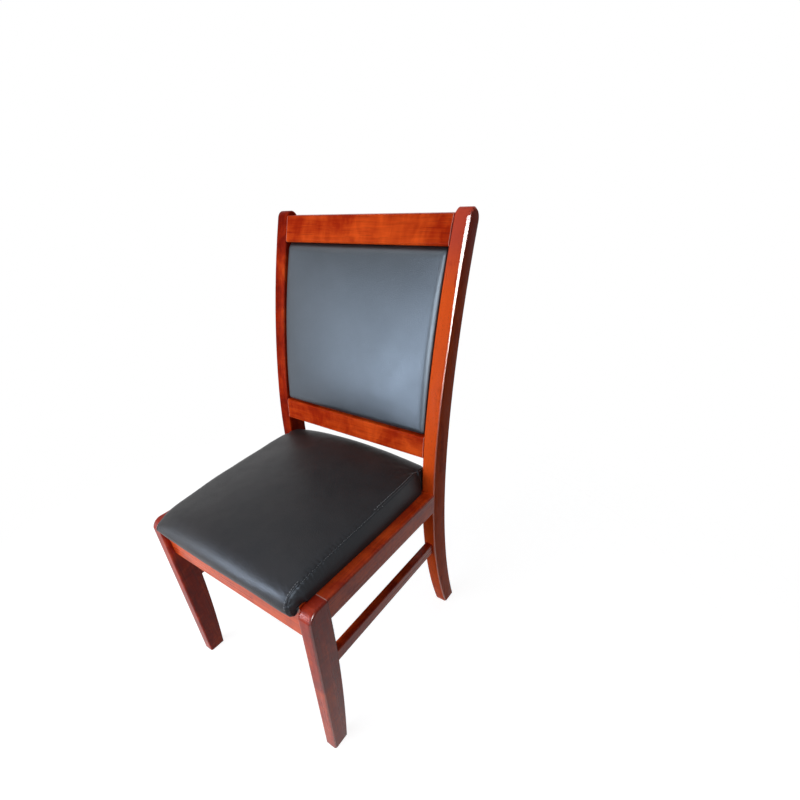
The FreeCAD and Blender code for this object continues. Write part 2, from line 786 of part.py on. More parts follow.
def cushion_side_region(side):
    """Everything outside the inner face of one side band, below its seam."""
    skin = size("cover_thickness")
    far = size("overrun")
    wires = []
    for row in CUSHION_SHARES:
        y, half_width, bottom, seam, crown = cushion_section(row, 0)
        low = half_width + size("cushion_spread") - skin
        inner = half_width - skin
        points = [V(side * low, y, bottom), V(side * (low + skin + far), y, bottom),
                  V(side * (inner + skin + far), y, seam), V(side * inner, y, seam)]
        wires.append(wire(points, [None, None, None, None]))
    return Part.makeLoft(wires, True, True)


def post_notches(skin):
    """Room for the two posts, as boxes that stay clear of them by the clearance and a skin."""
    gap = size("cushion_post_clearance") + skin
    wide = size("post_thickness") + gap
    deep = size("post_waist_depth") + gap
    high = size("cushion_height + 2 * overrun")
    bottom = size("seat_frame_top - overrun")
    y = size(WAIST_FRONT) - gap
    right = Part.makeBox(wide, deep, high, V(size(POST_INNER) - gap, y, bottom))
    left = Part.makeBox(wide, deep, high, V(-size(OUTER), y, bottom))
    return [right, left]


def hem_opening_box(inset, bottom, height):
    """A flat box inside the hem of the seat cover."""
    narrow_share = CUSHION_SHARES[-1][1]
    half_width = narrow_share * size(CUSHION_HALF_WIDTH) - size("hem_width") - inset
    front = size(FRONT + " + hem_width") + inset
    depth = size(CUSHION_DEPTH + " - 2 * hem_width") - 2 * inset
    return Part.makeBox(2 * half_width, depth, height, V(-half_width, front, bottom))


def dust_cover_solid():
    """Cloth inside the hem, with its corners cut off in front of the seat screws."""
    whole = hem_opening_box(size("hem_gap"), size(BOARD_BOTTOM + " - dust_cover_thickness"),
                            size("dust_cover_thickness"))
    edges = whole.BoundBox
    ends = []
    for inward, edge_y in ((1, edges.YMin), (-1, edges.YMax)):
        screw = seat_screw_place(1, inward, BOARD_BOTTOM)
        cut_off = edges.XMax - screw.x + abs(edge_y - screw.y) + size("cloth_screw_gap")
        ends.append((edges.XMax - cut_off, edge_y, edge_y + inward * cut_off))
    (front_x, front_y, front_side), (rear_x, rear_y, rear_side) = ends
    right = [(front_x, front_y), (edges.XMax, front_side), (edges.XMax, rear_side),
             (rear_x, rear_y)]
    left = [(-x, y) for x, y in reversed(right)]
    points = [V(x, y, edges.ZMin) for x, y in right + left]
    face = Part.Face(Part.makePolygon(points + points[:1]))
    return face.extrude(UP * edges.ZLength)


def build_seat_pad():
    """Board, foam, cover of three panels and dust cover of the seat."""
    skin = size("cover_thickness")
    outer = cushion_solid(0).cut(post_notches(0))
    inner = cushion_solid(skin).cut(post_notches(skin))

    opening = hem_opening_box(0, size("seat_frame_top - overrun"),
                              size("overrun + cover_thickness + dust_cover_thickness"))
    shell = outer.cut([inner, opening])
    regions = {name: cushion_side_region(side) for name, side in SIDES}
    for name, side in SIDES:
        keep("seat_side_band_" + name,
             feature("seat_side_band_" + name, shell.common(regions[name])))
    top = shell.cut(list(regions.values()))
    keep("seat_cover", feature("seat_cover", top))

    board = doc.addObject("Part::Box", "seat_board_blank")
    narrow_share = CUSHION_SHARES[-1][1]
    half = "(%s * (%s) - seat_board_inset)" % (narrow_share, CUSHION_HALF_WIDTH)
    board.setExpression("Length", bound("2 * " + half))
    board.setExpression("Width", bound(CUSHION_DEPTH + " - 2 * seat_board_inset"))
    board.setExpression("Height", bound("seat_board_thickness"))
    board.setExpression("Placement.Base.x", bound("-" + half))
    board.setExpression("Placement.Base.y", bound(FRONT + " + seat_board_inset"))
    board.setExpression("Placement.Base.z", bound(BOARD_BOTTOM))
    keep("seat_board",
         cut("seat_board_drilled", board,
             seat_screw_holes("board_hole", BOARD_BOTTOM + " - overrun",
                              "overrun + seat_screw_bite + screw_clearance")))
    keep("seat_foam", cut("seat_foam_hollowed", feature("seat_foam_blank", inner), [board]))

    keep("seat_dust_cover", feature("seat_dust_cover", dust_cover_solid()))


def back_pad_levels():
    """Level, edge set-back and crown of each cross-section of the back pad."""
    bottom = size("lower_rail_bottom + lower_rail_height + back_pad_gap")
    top = size("top_rail_bottom - back_pad_gap")
    for up_share, set_share, crown_share in BACK_PAD_SHARES:
        level = bottom + up_share * (top - bottom)
        yield level, set_share * size("back_pad_depth"), crown_share * size("back_pad_crown")


def trimmed(level, skin):
    """A level of the back pad, moved in by a skin where it is an end of the pad."""
    bottom = size("lower_rail_bottom + lower_rail_height + back_pad_gap")
    top = size("top_rail_bottom - back_pad_gap")
    return bottom + skin + (level - bottom) * (top - bottom - 2 * skin) / (top - bottom)


def back_pad_solid(skin, rear_set):
    """Crowned pad with rolled edges, from its front to a set behind the post front."""
    half_width = size(POST_INNER + " - back_pad_gap") - skin
    roll = size("back_pad_edge")
    wires = []
    for place, set_back, crown in back_pad_levels():
        level = trimmed(place, skin)
        face = post_front.set_at(level)
        edge = face + set_back + skin
        rear = face + rear_set
        shoulder = edge - crown * ROLL_RISE_SHARE
        corner_out = half_width - roll * ROLL_CORNER_SHARE
        corner_in = edge + roll * ROLL_CORNER_SHARE
        points = [V(half_width, rear, level), V(half_width, edge + roll, level),
                  V(half_width - roll, shoulder, level), V(-half_width + roll, shoulder, level),
                  V(-half_width, edge + roll, level), V(-half_width, rear, level)]
        bends = [None, V(corner_out, corner_in, level), V(0, edge - crown, level),
                 V(-corner_out, corner_in, level), None, None]
        wires.append(wire(points, bends))
    return Part.makeLoft(wires, True, True)


def back_slab(skin, half_width, near_set, far_set):
    """A curved slab behind the foam, between two sets behind the post front."""
    wires = []
    for place, set_back, crown in back_pad_levels():
        level = trimmed(place, skin)
        face = post_front.set_at(level)
        near = face + near_set
        far = face + far_set
        points = [V(half_width, near, level), V(half_width, far, level),
                  V(-half_width, far, level), V(-half_width, near, level)]
        wires.append(wire(points, [None, None, None, None]))
    return Part.makeLoft(wires, True, True)


def back_key_places():
    """Middle and direction of the loose tenons between the back board and the back rails."""
    board_set = size("back_pad_depth - cover_thickness - back_board_thickness / 2")
    for level in (size("lower_rail_bottom + lower_rail_height"), size("top_rail_bottom")):
        y = post_front.set_at(level) + board_set
        direction = V(0, post_front.slope_at(level), 1).normalize()
        for name, side in SIDES:
            yield V(side * size("back_key_spacing / 2"), y, level), direction


def back_keys(name, gap):
    """The four loose tenons, or their pockets when a gap is added all round."""
    sizes = [size(text) + 2 * gap
             for text in ("back_key_width", "back_key_thickness", "back_key_length")]
    keys = []
    for place, (middle, direction) in enumerate(back_key_places(), start=1):
        key = Part.makeBox(*sizes, V(*sizes) * -0.5)
        key.Placement = FreeCAD.Placement(middle, FreeCAD.Rotation(UP, direction))
        keys.append(feature("%s_%d" % (name, place), key))
    return keys


def key_pockets(name):
    return back_keys(name, size("screw_clearance"))


def build_back_pad():
    """Board, foam, front cover and rear cover of the back."""
    skin = size("cover_thickness")
    rear = size("back_pad_depth")
    board_rear = rear - skin
    board_front = board_rear - size("back_board_thickness")
    half_width = size(POST_INNER + " - back_pad_gap")

    whole = back_pad_solid(0, board_rear)
    inside = back_pad_solid(skin, board_rear + size("overrun"))
    front_cover = feature("back_cover_blank", whole.cut(inside))
    keep("back_cover", cut("back_cover_slotted", front_cover, key_pockets("cover_pocket")))

    filling = back_pad_solid(skin, board_rear)
    board_room = back_slab(skin, half_width, board_front, board_rear + size("overrun"))
    keep("back_foam", feature("back_foam", filling.cut(board_room)))
    board = feature("back_board_blank",
                    back_slab(skin, half_width - skin, board_front, board_rear))
    keep("back_board", cut("back_board_slotted", board, key_pockets("board_pocket")))
    keep("back_rear_cover",
         feature("back_rear_cover", back_slab(0, half_width, board_rear, rear)))
    keep("back_keys", group("back_key_group", back_keys("back_key", 0)))


# Assembly

def screw_table():
    """Every slanting screw with the corner that it belongs to."""
    return [(corner, side, inward, place, start, direction)
            for corner, side, inward in CORNERS
            for place, (start, direction) in enumerate(block_screws(side, inward))]


def rail_screw_holes(inward, side, place):
    """Holes in a rail for the screws that end in it: 0 is the cross rail, 1 the side rail."""
    holes = []
    for corner, its_side, its_inward, its_place, start, direction in screw_table():
        fits = its_place == place and its_inward in inward and its_side in side
        if fits:
            name = "rail_%s_%d" % (corner, its_place)
            holes.append(block_screw_hole(name, start, direction))
    return holes


def build_frame():
    for name, side in SIDES:
        leg = leg_body("front_leg_" + name, side)
        pockets = [mortise(kind, side)
                   for kind in ("side_rail_front", "front_rail", "stretcher_front")]
        keep("front_leg_" + name,
             cut("front_leg_%s_cut" % name, leg, pockets + [pin_hole("front", side)]))

        post = post_body("rear_post_" + name, side)
        pockets = [mortise(kind, side)
                   for kind in ("side_rail_rear", "rear_rail", "stretcher_rear",
                                "lower_back_rail", "top_back_rail")]
        keep("rear_post_" + name,
             cut("rear_post_%s_cut" % name, post, pockets + [pin_hole("rear", side)]))

        rail = side_rail_body("side_rail_" + name, side)
        whole = fused("side_rail_%s_tenoned" % name,
                      [rail, tenon("side_rail_front", side, "behind"),
                       tenon("side_rail_rear", side)])
        keep("side_rail_" + name,
             cut("side_rail_%s_drilled" % name, whole,
                 rail_screw_holes((1, -1), (side,), 1)))

        stretcher = stretcher_body("side_stretcher_" + name, side)
        keep("side_stretcher_" + name,
             fused("side_stretcher_%s_tenoned" % name,
                   [stretcher, tenon("stretcher_front", side, "behind"),
                    tenon("stretcher_rear", side)]))

    front = seat_rail_body("front_rail", LEG_INNER, FRONT_RAIL_FACE, "front_rail_height")
    whole = fused("front_rail_tenoned",
                  [front] + [tenon("front_rail", side, "across") for name, side in SIDES])
    keep("front_rail", cut("front_rail_drilled", whole, rail_screw_holes((1,), (1, -1), 0)))

    rear = seat_rail_body("rear_rail", POST_INNER, REAR_RAIL_FACE, "side_rail_height")
    whole = fused("rear_rail_tenoned",
                  [rear] + [tenon("rear_rail", side, "across") for name, side in SIDES])
    keep("rear_rail", cut("rear_rail_drilled", whole, rail_screw_holes((-1,), (1, -1), 0)))

    for label, bottom, height in (("lower_back_rail", "lower_rail_bottom", "lower_rail_height"),
                                  ("top_back_rail", "top_rail_bottom", "top_rail_height")):
        rail = back_rail_body(label, bottom, height)
        whole = fused(label + "_tenoned",
                      [rail] + [tenon(label, side, "across") for name, side in SIDES])
        keep(label, cut(label + "_slotted", whole, key_pockets(label + "_pocket")))

    keep("foot_glides", group("foot_glide_group",
                              [glide(kind, side, "glide_%s_%s" % (kind, name))
                               for kind in ("front", "rear") for name, side in SIDES]))


def build_corner_blocks():
    for corner, side, inward in CORNERS:
        block = block_body("corner_block_" + corner, side, inward)
        holes = []
        for place, (start, direction) in enumerate(block_screws(side, inward)):
            holes.append(block_screw_hole("block_%s_%d" % (corner, place), start, direction))
        holes.append(rod("block_%s_seat_hole" % corner,
                         seat_screw_place(side, inward,
                                          "seat_frame_top - block_height - overrun"),
                         UP, "seat_screw_radius + screw_clearance",
                         "block_height + 2 * overrun"))
        keep("corner_block_" + corner,
             cut("corner_block_%s_drilled" % corner, block, holes))

    keep("corner_block_screws", group("corner_block_screw_group", [
        block_screw("block_screw_%s_%d" % (corner, place), start, direction)
        for corner, side, inward, place, start, direction in screw_table()]))
    keep("seat_screws", group("seat_screw_group", [
        seat_screw("seat_screw_" + corner, side, inward) for corner, side, inward in CORNERS]))


def check_document():
    """Stop with the names of what failed."""
    doc.recompute()
    failed = [item.Name for item in doc.Objects
              if "Invalid" in item.State or "Error" in item.State]
    broken = [piece.Label for piece in pieces
              if piece.Shape.isNull() or not piece.Shape.isValid()]
    if failed or broken:
        raise RuntimeError("failed objects %s, broken shapes %s" % (failed, broken))


def write_pieces():
    os.makedirs("parts", exist_ok=True)
    for piece in pieces:
        piece.Shape.exportStep(os.path.join("parts", piece.Label + ".step"))
        print("%-26s %2d solid(s) %12.1f mm3"
              % (piece.Label, len(piece.Shape.Solids), piece.Shape.Volume))


build_frame()
build_corner_blocks()
build_seat_pad()
build_back_pad()
check_document()
write_pieces()
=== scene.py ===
import math
import random

import bmesh
import bpy
from mathutils import Matrix, Vector, noise


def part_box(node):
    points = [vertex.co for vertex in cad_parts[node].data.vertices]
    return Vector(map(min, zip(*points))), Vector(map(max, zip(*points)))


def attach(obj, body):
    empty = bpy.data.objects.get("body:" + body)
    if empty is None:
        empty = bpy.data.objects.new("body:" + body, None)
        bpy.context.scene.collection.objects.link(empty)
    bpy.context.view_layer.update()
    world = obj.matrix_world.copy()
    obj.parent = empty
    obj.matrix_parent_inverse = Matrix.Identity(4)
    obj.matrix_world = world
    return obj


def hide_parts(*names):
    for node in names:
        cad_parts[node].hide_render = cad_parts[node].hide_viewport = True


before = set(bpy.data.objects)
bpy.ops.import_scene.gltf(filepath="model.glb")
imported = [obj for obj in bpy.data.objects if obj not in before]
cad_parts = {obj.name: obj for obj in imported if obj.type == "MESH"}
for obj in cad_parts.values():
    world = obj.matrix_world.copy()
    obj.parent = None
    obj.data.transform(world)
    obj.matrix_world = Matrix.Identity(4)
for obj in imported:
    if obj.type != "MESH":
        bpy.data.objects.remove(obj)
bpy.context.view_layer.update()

# Office chair of red-brown stained wood with a black leatherette seat and back.
# Metres, X across the chair, Y from the front to the back, Z up.

SEED = 11
MM = 0.001

# Sizes that the solids share, in metres
RAIL_TOP = 0.421
POST_FRONT = 0.129
POST_WAIST = 0.400
POST_BEND = 0.570
BEND_SET = 0.0136
ARC_END_Y = 0.2352
ARC_END_Z = 0.9097
PAD_BOTTOM = 0.5475
PAD_TOP = 0.8745
PAD_HALF_WIDTH = 0.1975
PAD_DEPTH = 0.025


# Small helpers for meshes

def add_object(name, data):
    piece = bpy.data.objects.new(name, data)
    bpy.context.scene.collection.objects.link(piece)
    return piece


def mesh_object(name, points, faces):
    mesh = bpy.data.meshes.new(name)
    mesh.from_pydata([tuple(point) for point in points], [], faces)
    mesh.validate()
    mesh.update()
    return add_object(name, mesh)


def smooth(piece):
    for face in piece.data.polygons:
        face.use_smooth = True


def baked(piece):
    """Replace a piece's mesh by what its modifiers make of it."""
    bpy.context.view_layer.update()
    graph = bpy.context.evaluated_depsgraph_get()
    mesh = bpy.data.meshes.new_from_object(piece.evaluated_get(graph))
    piece.modifiers.clear()
    piece.data = mesh
    return piece


def spline_at(keys, values, place):
    """Value of a smooth curve through (keys, values) at a place."""
    last = len(keys) - 1
    if place <= keys[0]:
        return values[0]
    if place >= keys[last]:
        return values[last]
    low = 0
    while keys[low + 1] < place:
        low += 1

    def slope(index):
        before = max(index - 1, 0)
        after = min(index + 1, last)
        return (values[after] - values[before]) / (keys[after] - keys[before])

    width = keys[low + 1] - keys[low]
    share = (place - keys[low]) / width
    square = share * share
    cube = square * share
    return ((2 * cube - 3 * square + 1) * values[low]
            + (cube - 2 * square + share) * width * slope(low)
            + (3 * square - 2 * cube) * values[low + 1]
            + (cube - square) * width * slope(low + 1))


def fade(low, high, value):
    """0 below low, 1 above high, and a smooth turn between them."""
    share = min(max((value - low) / (high - low), 0.0), 1.0)
    return share * share * (3 - 2 * share)


def bell(place, width):
    """1 at place 0, and a smooth fall on both sides of it."""
    return math.exp(-(place / width) ** 2)


def limited(value, most):
    """A value whose size is no more than most, with its own sign."""
    return math.copysign(min(abs(value), most), value)


def grid_faces(grid):
    """Faces between rows of indices."""
    return [(lower[index], lower[index + 1], upper[index + 1], upper[index])
            for lower, upper in zip(grid, grid[1:]) for index in range(len(lower) - 1)]


def unevenness(point, waves):
    """Height of soft waves at a point. Each wave is (scale, offset, height)."""
    return sum(height * noise.noise(point * scale + Vector(offset))
               for scale, offset, height in waves)


# Front faces of the posts in the side view, as arcs (top, centre y, centre z, radius)

def post_front_arcs():
    rise = POST_BEND - POST_WAIST
    low_radius = (BEND_SET * BEND_SET + rise * rise) / (2 * BEND_SET)
    lean = math.asin(rise / low_radius)
    run = ARC_END_Y - (POST_FRONT + BEND_SET)
    rise = ARC_END_Z - POST_BEND
    turn = math.atan2(run, rise) - lean
    high_radius = math.hypot(run, rise) / (2 * math.sin(turn))
    return [(POST_BEND, POST_FRONT + low_radius, POST_WAIST, low_radius),
            (math.inf, POST_FRONT + BEND_SET + high_radius * math.cos(lean),
             POST_BEND - high_radius * math.sin(lean), high_radius)]


FRONT_ARCS = post_front_arcs()


def post_front_at(level):
    """Y of the front faces of the posts at a level above the waist."""
    for top, centre_y, centre_z, radius in FRONT_ARCS:
        if level <= top:
            break
    return centre_y - math.sqrt(radius ** 2 - (level - centre_z) ** 2)


# Seat cushion: the line of its crown and the line of its side seam, both from the front edge
# over the top to the rear edge. Millimetres: y, z and, for the seam, half width.

CROWN_LINE = [
    (-248.4, 421.2), (-249.2, 414.5), (-254.0, 410.0), (-263.0, 411.8), (-269.0, 419.5),
    (-271.0, 431.5), (-267.5, 444.5), (-258.0, 456.5), (-240.0, 467.0), (-217.0, 473.0),
    (-183.0, 476.8), (-130.0, 479.4), (-57.0, 481.0), (19.0, 483.0), (83.0, 485.4),
    (122.0, 486.9), (141.0, 485.4), (152.0, 479.5), (156.5, 469.0), (157.0, 450.0),
    (154.8, 432.0), (152.0, 421.2),
]
SEAM_LINE = [
    (-247.9, 421.2, 199.6), (-248.6, 415.5, 198.8), (-252.5, 411.5, 197.0), (-259.5, 412.8, 195.2),
    (-264.0, 419.0, 194.2), (-265.5, 428.5, 193.6), (-262.0, 439.0, 193.3), (-254.0, 447.3, 193.8),
    (-238.0, 454.5, 194.8), (-215.0, 458.5, 195.4), (-181.0, 461.0, 195.7), (-130.0, 463.8, 196.3),
    (-57.0, 467.5, 197.2), (19.0, 471.0, 198.0), (70.0, 473.4, 198.0), (108.0, 474.4, 197.0),
    (134.0, 472.0, 196.0), (146.5, 466.0, 195.7), (151.5, 457.0, 195.6), (152.7, 443.5, 195.6),
    (152.0, 431.0, 195.6), (150.0, 421.2, 195.6),
]
# Half width of the lower edges of the side bands, and how much lower the left seam lies: pairs
# of y and size
BAND_FOOT = [(-262.5, 198.5), (-250.0, 200.3), (-236.0, 203.4), (-215.0, 204.0), (-130.0, 204.9),
             (-57.0, 206.0), (19.0, 205.8), (80.0, 204.9), (126.0, 204.2)]
SIDE_DROP = [(-262.5, 13.0), (-215.0, 10.5), (-57.0, 9.0), (83.0, 9.0), (152.0, 9.0)]
CUSHION_HALF_WIDTH = 200.0
# The cushion stays within POST_SIDE from POST_FACE backwards
POST_FACE = 126.5
POST_SIDE = 196.6
SEAT_ROW = 4.0
SEAT_COLUMN = 6.0
SEAM_STEPS = [0.0, 0.9, 1.8, 3.0, 4.6, 6.6, 9.2, 12.5, 16.5]
BAND_ROWS = [0.0, 0.03, 0.07, 0.13, 0.21, 0.31, 0.43, 0.56, 0.70, 0.82, 0.92, 1.0]
BAND_FULLNESS = 2.2
BAND_FULL_HEIGHT = 25.0
BAND_SLOPE_POWER = 1.3
BAND_ROUND_POWER = 0.8
BAND_REAR_LOSS = 0.85
BAND_REAR = (70.0, 122.0)
DROP_FULL_HEIGHT = 30.0
EDGE_ROLL = 15.0
EDGE_ROLL_SHARE = 0.36
BAND_FRONT_STEP = 0.7
# The front edge sags at its right end, within these ranges of x, y and z
CORNER_SAG = 7.0
SAG_X = (90.0, 190.0)
SAG_Y = (-254.0, -249.5)
SAG_Z = (426.0, 452.0)
# The left side lies further in by LEFT_INSET, and by LEFT_DRAW more in front of LEFT_DRAW_Y
LEFT_INSET = 4.0
LEFT_DRAW = 7.0
LEFT_DRAW_Y = (-235.0, -60.0)
LEFT_POWER = 4


def seat_lines():
    """Crown and seam of the cushion at even steps from the front edge to the rear edge."""
    reach = [0.0]
    for (y0, z0), (y1, z1) in zip(CROWN_LINE, CROWN_LINE[1:]):
        reach.append(reach[-1] + math.hypot(y1 - y0, z1 - z0))
    count = int(round(reach[-1] / SEAT_ROW))
    rows = []
    for index in range(count + 1):
        place = reach[-1] * index / count
        crown = [spline_at(reach, [point[axis] for point in CROWN_LINE], place)
                 for axis in (0, 1)]
        seam = [spline_at(reach, [point[axis] for point in SEAM_LINE], place)
                for axis in (0, 1, 2)]
        rows.append((crown, seam))
    return rows


def seat_columns(half_width):
    """Places across half the cushion, from the middle to the seam, closer near the seam."""
    inner = half_width - SEAM_STEPS[-1]
    count = int(round(CUSHION_HALF_WIDTH / SEAT_COLUMN))
    places = [inner * index / count for index in range(count)]
    return places + [half_width - step for step in reversed(SEAM_STEPS)]


def crown_share(x, half_width):
    """How far the top panel has risen from the seam to the crown."""
    from_seam = half_width - abs(x)
    turn = min(from_seam / EDGE_ROLL, 1.0)
    roll = math.sqrt(max(1 - (1 - turn) ** 2, 0.0))
    across = 1 - (x / half_width) ** 2
    return EDGE_ROLL_SHARE * roll + (1 - EDGE_ROLL_SHARE) * across


def band_bottoms(rows):
    """Y of the lower edge of the side band for every row."""
    front = SEAM_LINE[0][0]
    rear = SEAM_LINE[-1][0]
    places = [min(max(seam[0], front), rear) for _, seam in rows]
    for index in range(1, len(places)):
        places[index] = max(places[index], places[index - 1] + BAND_FRONT_STEP)
    places[-1] = rear
    for index in range(len(places) - 2, -1, -1):
        places[index] = min(places[index], places[index + 1] - BAND_FRONT_STEP)
    return places


def along_table(table, place):
    """Value of a table of (place, value) pairs at a place."""
    return spline_at([key for key, value in table], [value for key, value in table], place)


def settled_corner(x, y, z):
    """The front edge hangs lower at its right end, and the left side lies further in."""
    if x > 0:
        low = (1 - fade(*SAG_Z, z)) * (1 - fade(*SAG_Y, y))
        return x, y, z - CORNER_SAG * low * fade(*SAG_X, x)
    inward = LEFT_INSET + LEFT_DRAW * (1 - fade(*LEFT_DRAW_Y, y))
    inward *= min(abs(x) / CUSHION_HALF_WIDTH, 1.0) ** LEFT_POWER
    return x + inward, y, z


def band_points(seam, bottom_y, drop):
    """Points of a side band below the seam, each with what it lies lower on the left side."""
    half_width = seam[2]
    height = seam[1] - SEAM_LINE[0][1]
    fullness = BAND_FULLNESS * (1 - BAND_REAR_LOSS * fade(*BAND_REAR, seam[0]))
    fullness *= min(height / BAND_FULL_HEIGHT, 1.0)
    foot = along_table(BAND_FOOT, seam[0])
    band = []
    for share in BAND_ROWS[1:]:
        z = seam[1] - height * share
        y = seam[0] + (bottom_y - seam[0]) * share
        x = half_width + (foot - half_width) * share ** BAND_SLOPE_POWER
        x += fullness * math.sin(math.pi * share) ** BAND_ROUND_POWER
        if y > POST_FACE:
            x = min(x, POST_SIDE)
        band.append((x, y, z, drop * (1 - share)))
    return band


def seat_surface():
    """Points and faces of the top panel and both side bands, open at the bottom.

    Returns also rows of indices across the cushion, and the indices of the two seams."""
    rows = seat_lines()
    points = []
    grid = []
    for (crown, seam), bottom_y in zip(rows, band_bottoms(rows)):
        half_width = seam[2]
        half = seat_columns(half_width)
        height = seam[1] - SEAM_LINE[0][1]
        drop = along_table(SIDE_DROP, seam[0]) * min(height / DROP_FULL_HEIGHT, 1.0)
        band = band_points(seam, bottom_y, drop)
        drawn = [(-x, y, z - fall) for x, y, z, fall in reversed(band)]
        for x in [-x for x in reversed(half[1:])] + half:
            share = crown_share(x, half_width)
            fall = drop * (x / half_width) ** 2 if x < 0 else 0.0
            drawn.append((x, seam[0] + (crown[0] - seam[0]) * share,
                          seam[1] + (crown[1] - seam[1]) * share - fall))
        drawn.extend((x, y, z) for x, y, z, _ in band)
        grid.append(list(range(len(points), len(points) + len(drawn))))
        points.extend(settled_corner(x, y, z) for x, y, z in drawn)
    band_count = len(BAND_ROWS) - 1
    left = [row[band_count] for row in grid]
    right = [row[-1 - band_count] for row in grid]
    return [Vector(point) * MM for point in points], grid_faces(grid), grid, left, right


def cloth_settled(piece, pinned, pressure, grow, cap, frames=20):
    """Let a piece swell as cloth that is held at its pinned points, no point further than cap."""
    group = piece.vertex_groups.new(name="pinned")
    group.add(pinned, 1.0, "REPLACE")
    cloth = piece.modifiers.new("cloth", "CLOTH")
    settings = cloth.settings
    settings.quality = 6
    settings.mass = 0.25
    settings.tension_stiffness = 18
    settings.compression_stiffness = 18
    settings.shear_stiffness = 8
    settings.bending_stiffness = 1.2
    settings.use_pressure = True
    settings.uniform_pressure_force = pressure
    settings.shrink_min = -grow
    settings.vertex_group_mass = "pinned"
    settings.effector_weights.gravity = 0
    cloth.collision_settings.use_collision = False
    cloth.collision_settings.use_self_collision = False
    cloth.point_cache.frame_start = 1
    cloth.point_cache.frame_end = frames
    scene = bpy.context.scene
    for number in range(1, frames + 1):
        scene.frame_set(number)
    graph = bpy.context.evaluated_depsgraph_get()
    settled = [vertex.co.copy() for vertex in piece.evaluated_get(graph).data.vertices]
    piece.modifiers.clear()
    piece.vertex_groups.clear()
    scene.frame_set(1)
    for vertex, place in zip(piece.data.vertices, settled):
        step = place - vertex.co
        if step.length > cap:
            step *= cap / step.length
        vertex.co += step
    piece.data.update()


def subdivided(piece):
    modifier = piece.modifiers.new("finer", "SUBSURF")
    modifier.levels = 1
    modifier.render_levels = 1
    return baked(piece)


def faced_outward(piece, close=False):
    """Turn the faces of a piece outward, and close its open edge first if asked."""
    mesh = bmesh.new()
    mesh.from_mesh(piece.data)
    if close:
        bmesh.ops.remove_doubles(mesh, verts=mesh.verts, dist=1e-6)
        rim = [edge for edge in mesh.edges if edge.is_boundary]
        bmesh.ops.holes_fill(mesh, edges=rim, sides=0)
    bmesh.ops.recalc_face_normals(mesh, faces=mesh.faces)
    mesh.to_mesh(piece.data)
    mesh.free()


# Gathers beside the seams, the groove of a seam and the lip above it, in metres
GATHER_START = 0.004
GATHER_GAPS = (0.0075, 0.0125)
GATHER_STRENGTHS = (0.45, 1.0)
GATHER_WIDTH = 0.0017
GATHER_NEAR = 0.006
GATHER_CLEAR = 0.0008
GATHER_FRONT = (-0.19, 0.02)
GATHER_LENGTH = 0.0045
GATHER_FRONT_LENGTH = 0.006
GATHER_DEPTH = 0.00035
GATHER_FRONT_DEPTH = 0.0008
GATHER_SIDES = {-1: 0.12, 1: 1.0}
GROOVE_DEPTH = 0.0011
GROOVE_WIDTH = 0.0016
LIP_HEIGHT = 0.0004
LIP_PLACE = 0.0040
LIP_WIDTH = 0.0018
SEAM_ZONE = 0.16
SEAM_REACH = 0.022
FOAM_LEVEL = RAIL_TOP + 0.012
SEAT_WAVES = [(16, (3.1, 0.4, 7.7), 0.0008), (46, (9.2, 5.4, 1.7), 0.00022)]


def gather_table(total, seed):
    """Places where the cloth is gathered along a seam of this length, as (place, strength)."""
    draw = random.Random(seed)
    gathers = []
    place = GATHER_START
    while place < total:
        gathers.append((place, draw.uniform(*GATHER_STRENGTHS)))
        place += draw.uniform(*GATHER_GAPS)
    return gathers


def sink_seam(vertices, side, line, moves):
    """Add the groove, the lip and the gathers of one seam to the moves of the vertices."""
    reach = [0.0]
    for before, after in zip(line, line[1:]):
        reach.append(reach[-1] + (after - before).length)
    gathers = gather_table(reach[-1], SEED + side)
    for index, vertex in enumerate(vertices):
        point = vertex.co
        if point.x * side < SEAM_ZONE:
            continue
        away, nearest = min(((spot - point).length_squared, place)
                            for place, spot in enumerate(line))
        distance = math.sqrt(away)
        if distance > SEAM_REACH:
            continue
        groove = GROOVE_DEPTH * bell(distance, GROOVE_WIDTH)
        if point.z > line[nearest].z - MM:
            groove -= LIP_HEIGHT * bell(distance - LIP_PLACE, LIP_WIDTH)
        along = reach[nearest]
        pull = sum(strength * bell(place - along, GATHER_WIDTH) for place, strength in gathers
                   if abs(place - along) < GATHER_NEAR)
        frontness = 1 - fade(*GATHER_FRONT, line[nearest].y)
        depth = 0.0
        if distance > GATHER_CLEAR:
            depth = GATHER_DEPTH + GATHER_FRONT_DEPTH * frontness
            depth *= bell(distance, GATHER_LENGTH + GATHER_FRONT_LENGTH * frontness)
        moves[index] -= groove + pull * depth * GATHER_SIDES[side]


def seat_details(piece, seams):
    """Seam grooves, gathers beside them and the faint unevenness of the foam."""
    mesh = piece.data
    mesh.update()
    normals = [vertex.normal.copy() for vertex in mesh.vertices]
    moves = [0.0] * len(mesh.vertices)
    for side, line in zip((-1, 1), seams):
        sink_seam(mesh.vertices, side, line, moves)
    for index, vertex in enumerate(mesh.vertices):
        if vertex.co.z > FOAM_LEVEL:
            moves[index] += unevenness(vertex.co, SEAT_WAVES)
    for vertex, normal, move in zip(mesh.vertices, normals, moves):
        vertex.co = vertex.co + normal * move
    mesh.update()


# Folds at the rear and the front corner: where they start, the spread of their directions and
# their depth. They fan out by FOLD_FAN times the spread, and get wider away from the corner.
FOLD_STARTS = [((0.197, 0.118, 0.468), 0.45, 0.0011), ((0.200, -0.262, 0.446), 0.5, 0.0008)]
FOLD_INWARD = (0.8, 0.6)
FOLD_FAN = (-1.0, -0.35, 0.3, 0.95)
FOLD_TURN = 0.08
FOLD_DEPTHS = (0.6, 1.0)
FOLD_LENGTHS = (0.030, 0.055)
FOLD_NEAR = 0.08
FOLD_END = 1.4
FOLD_WIDTH = 0.0022
FOLD_WIDENING = 0.06


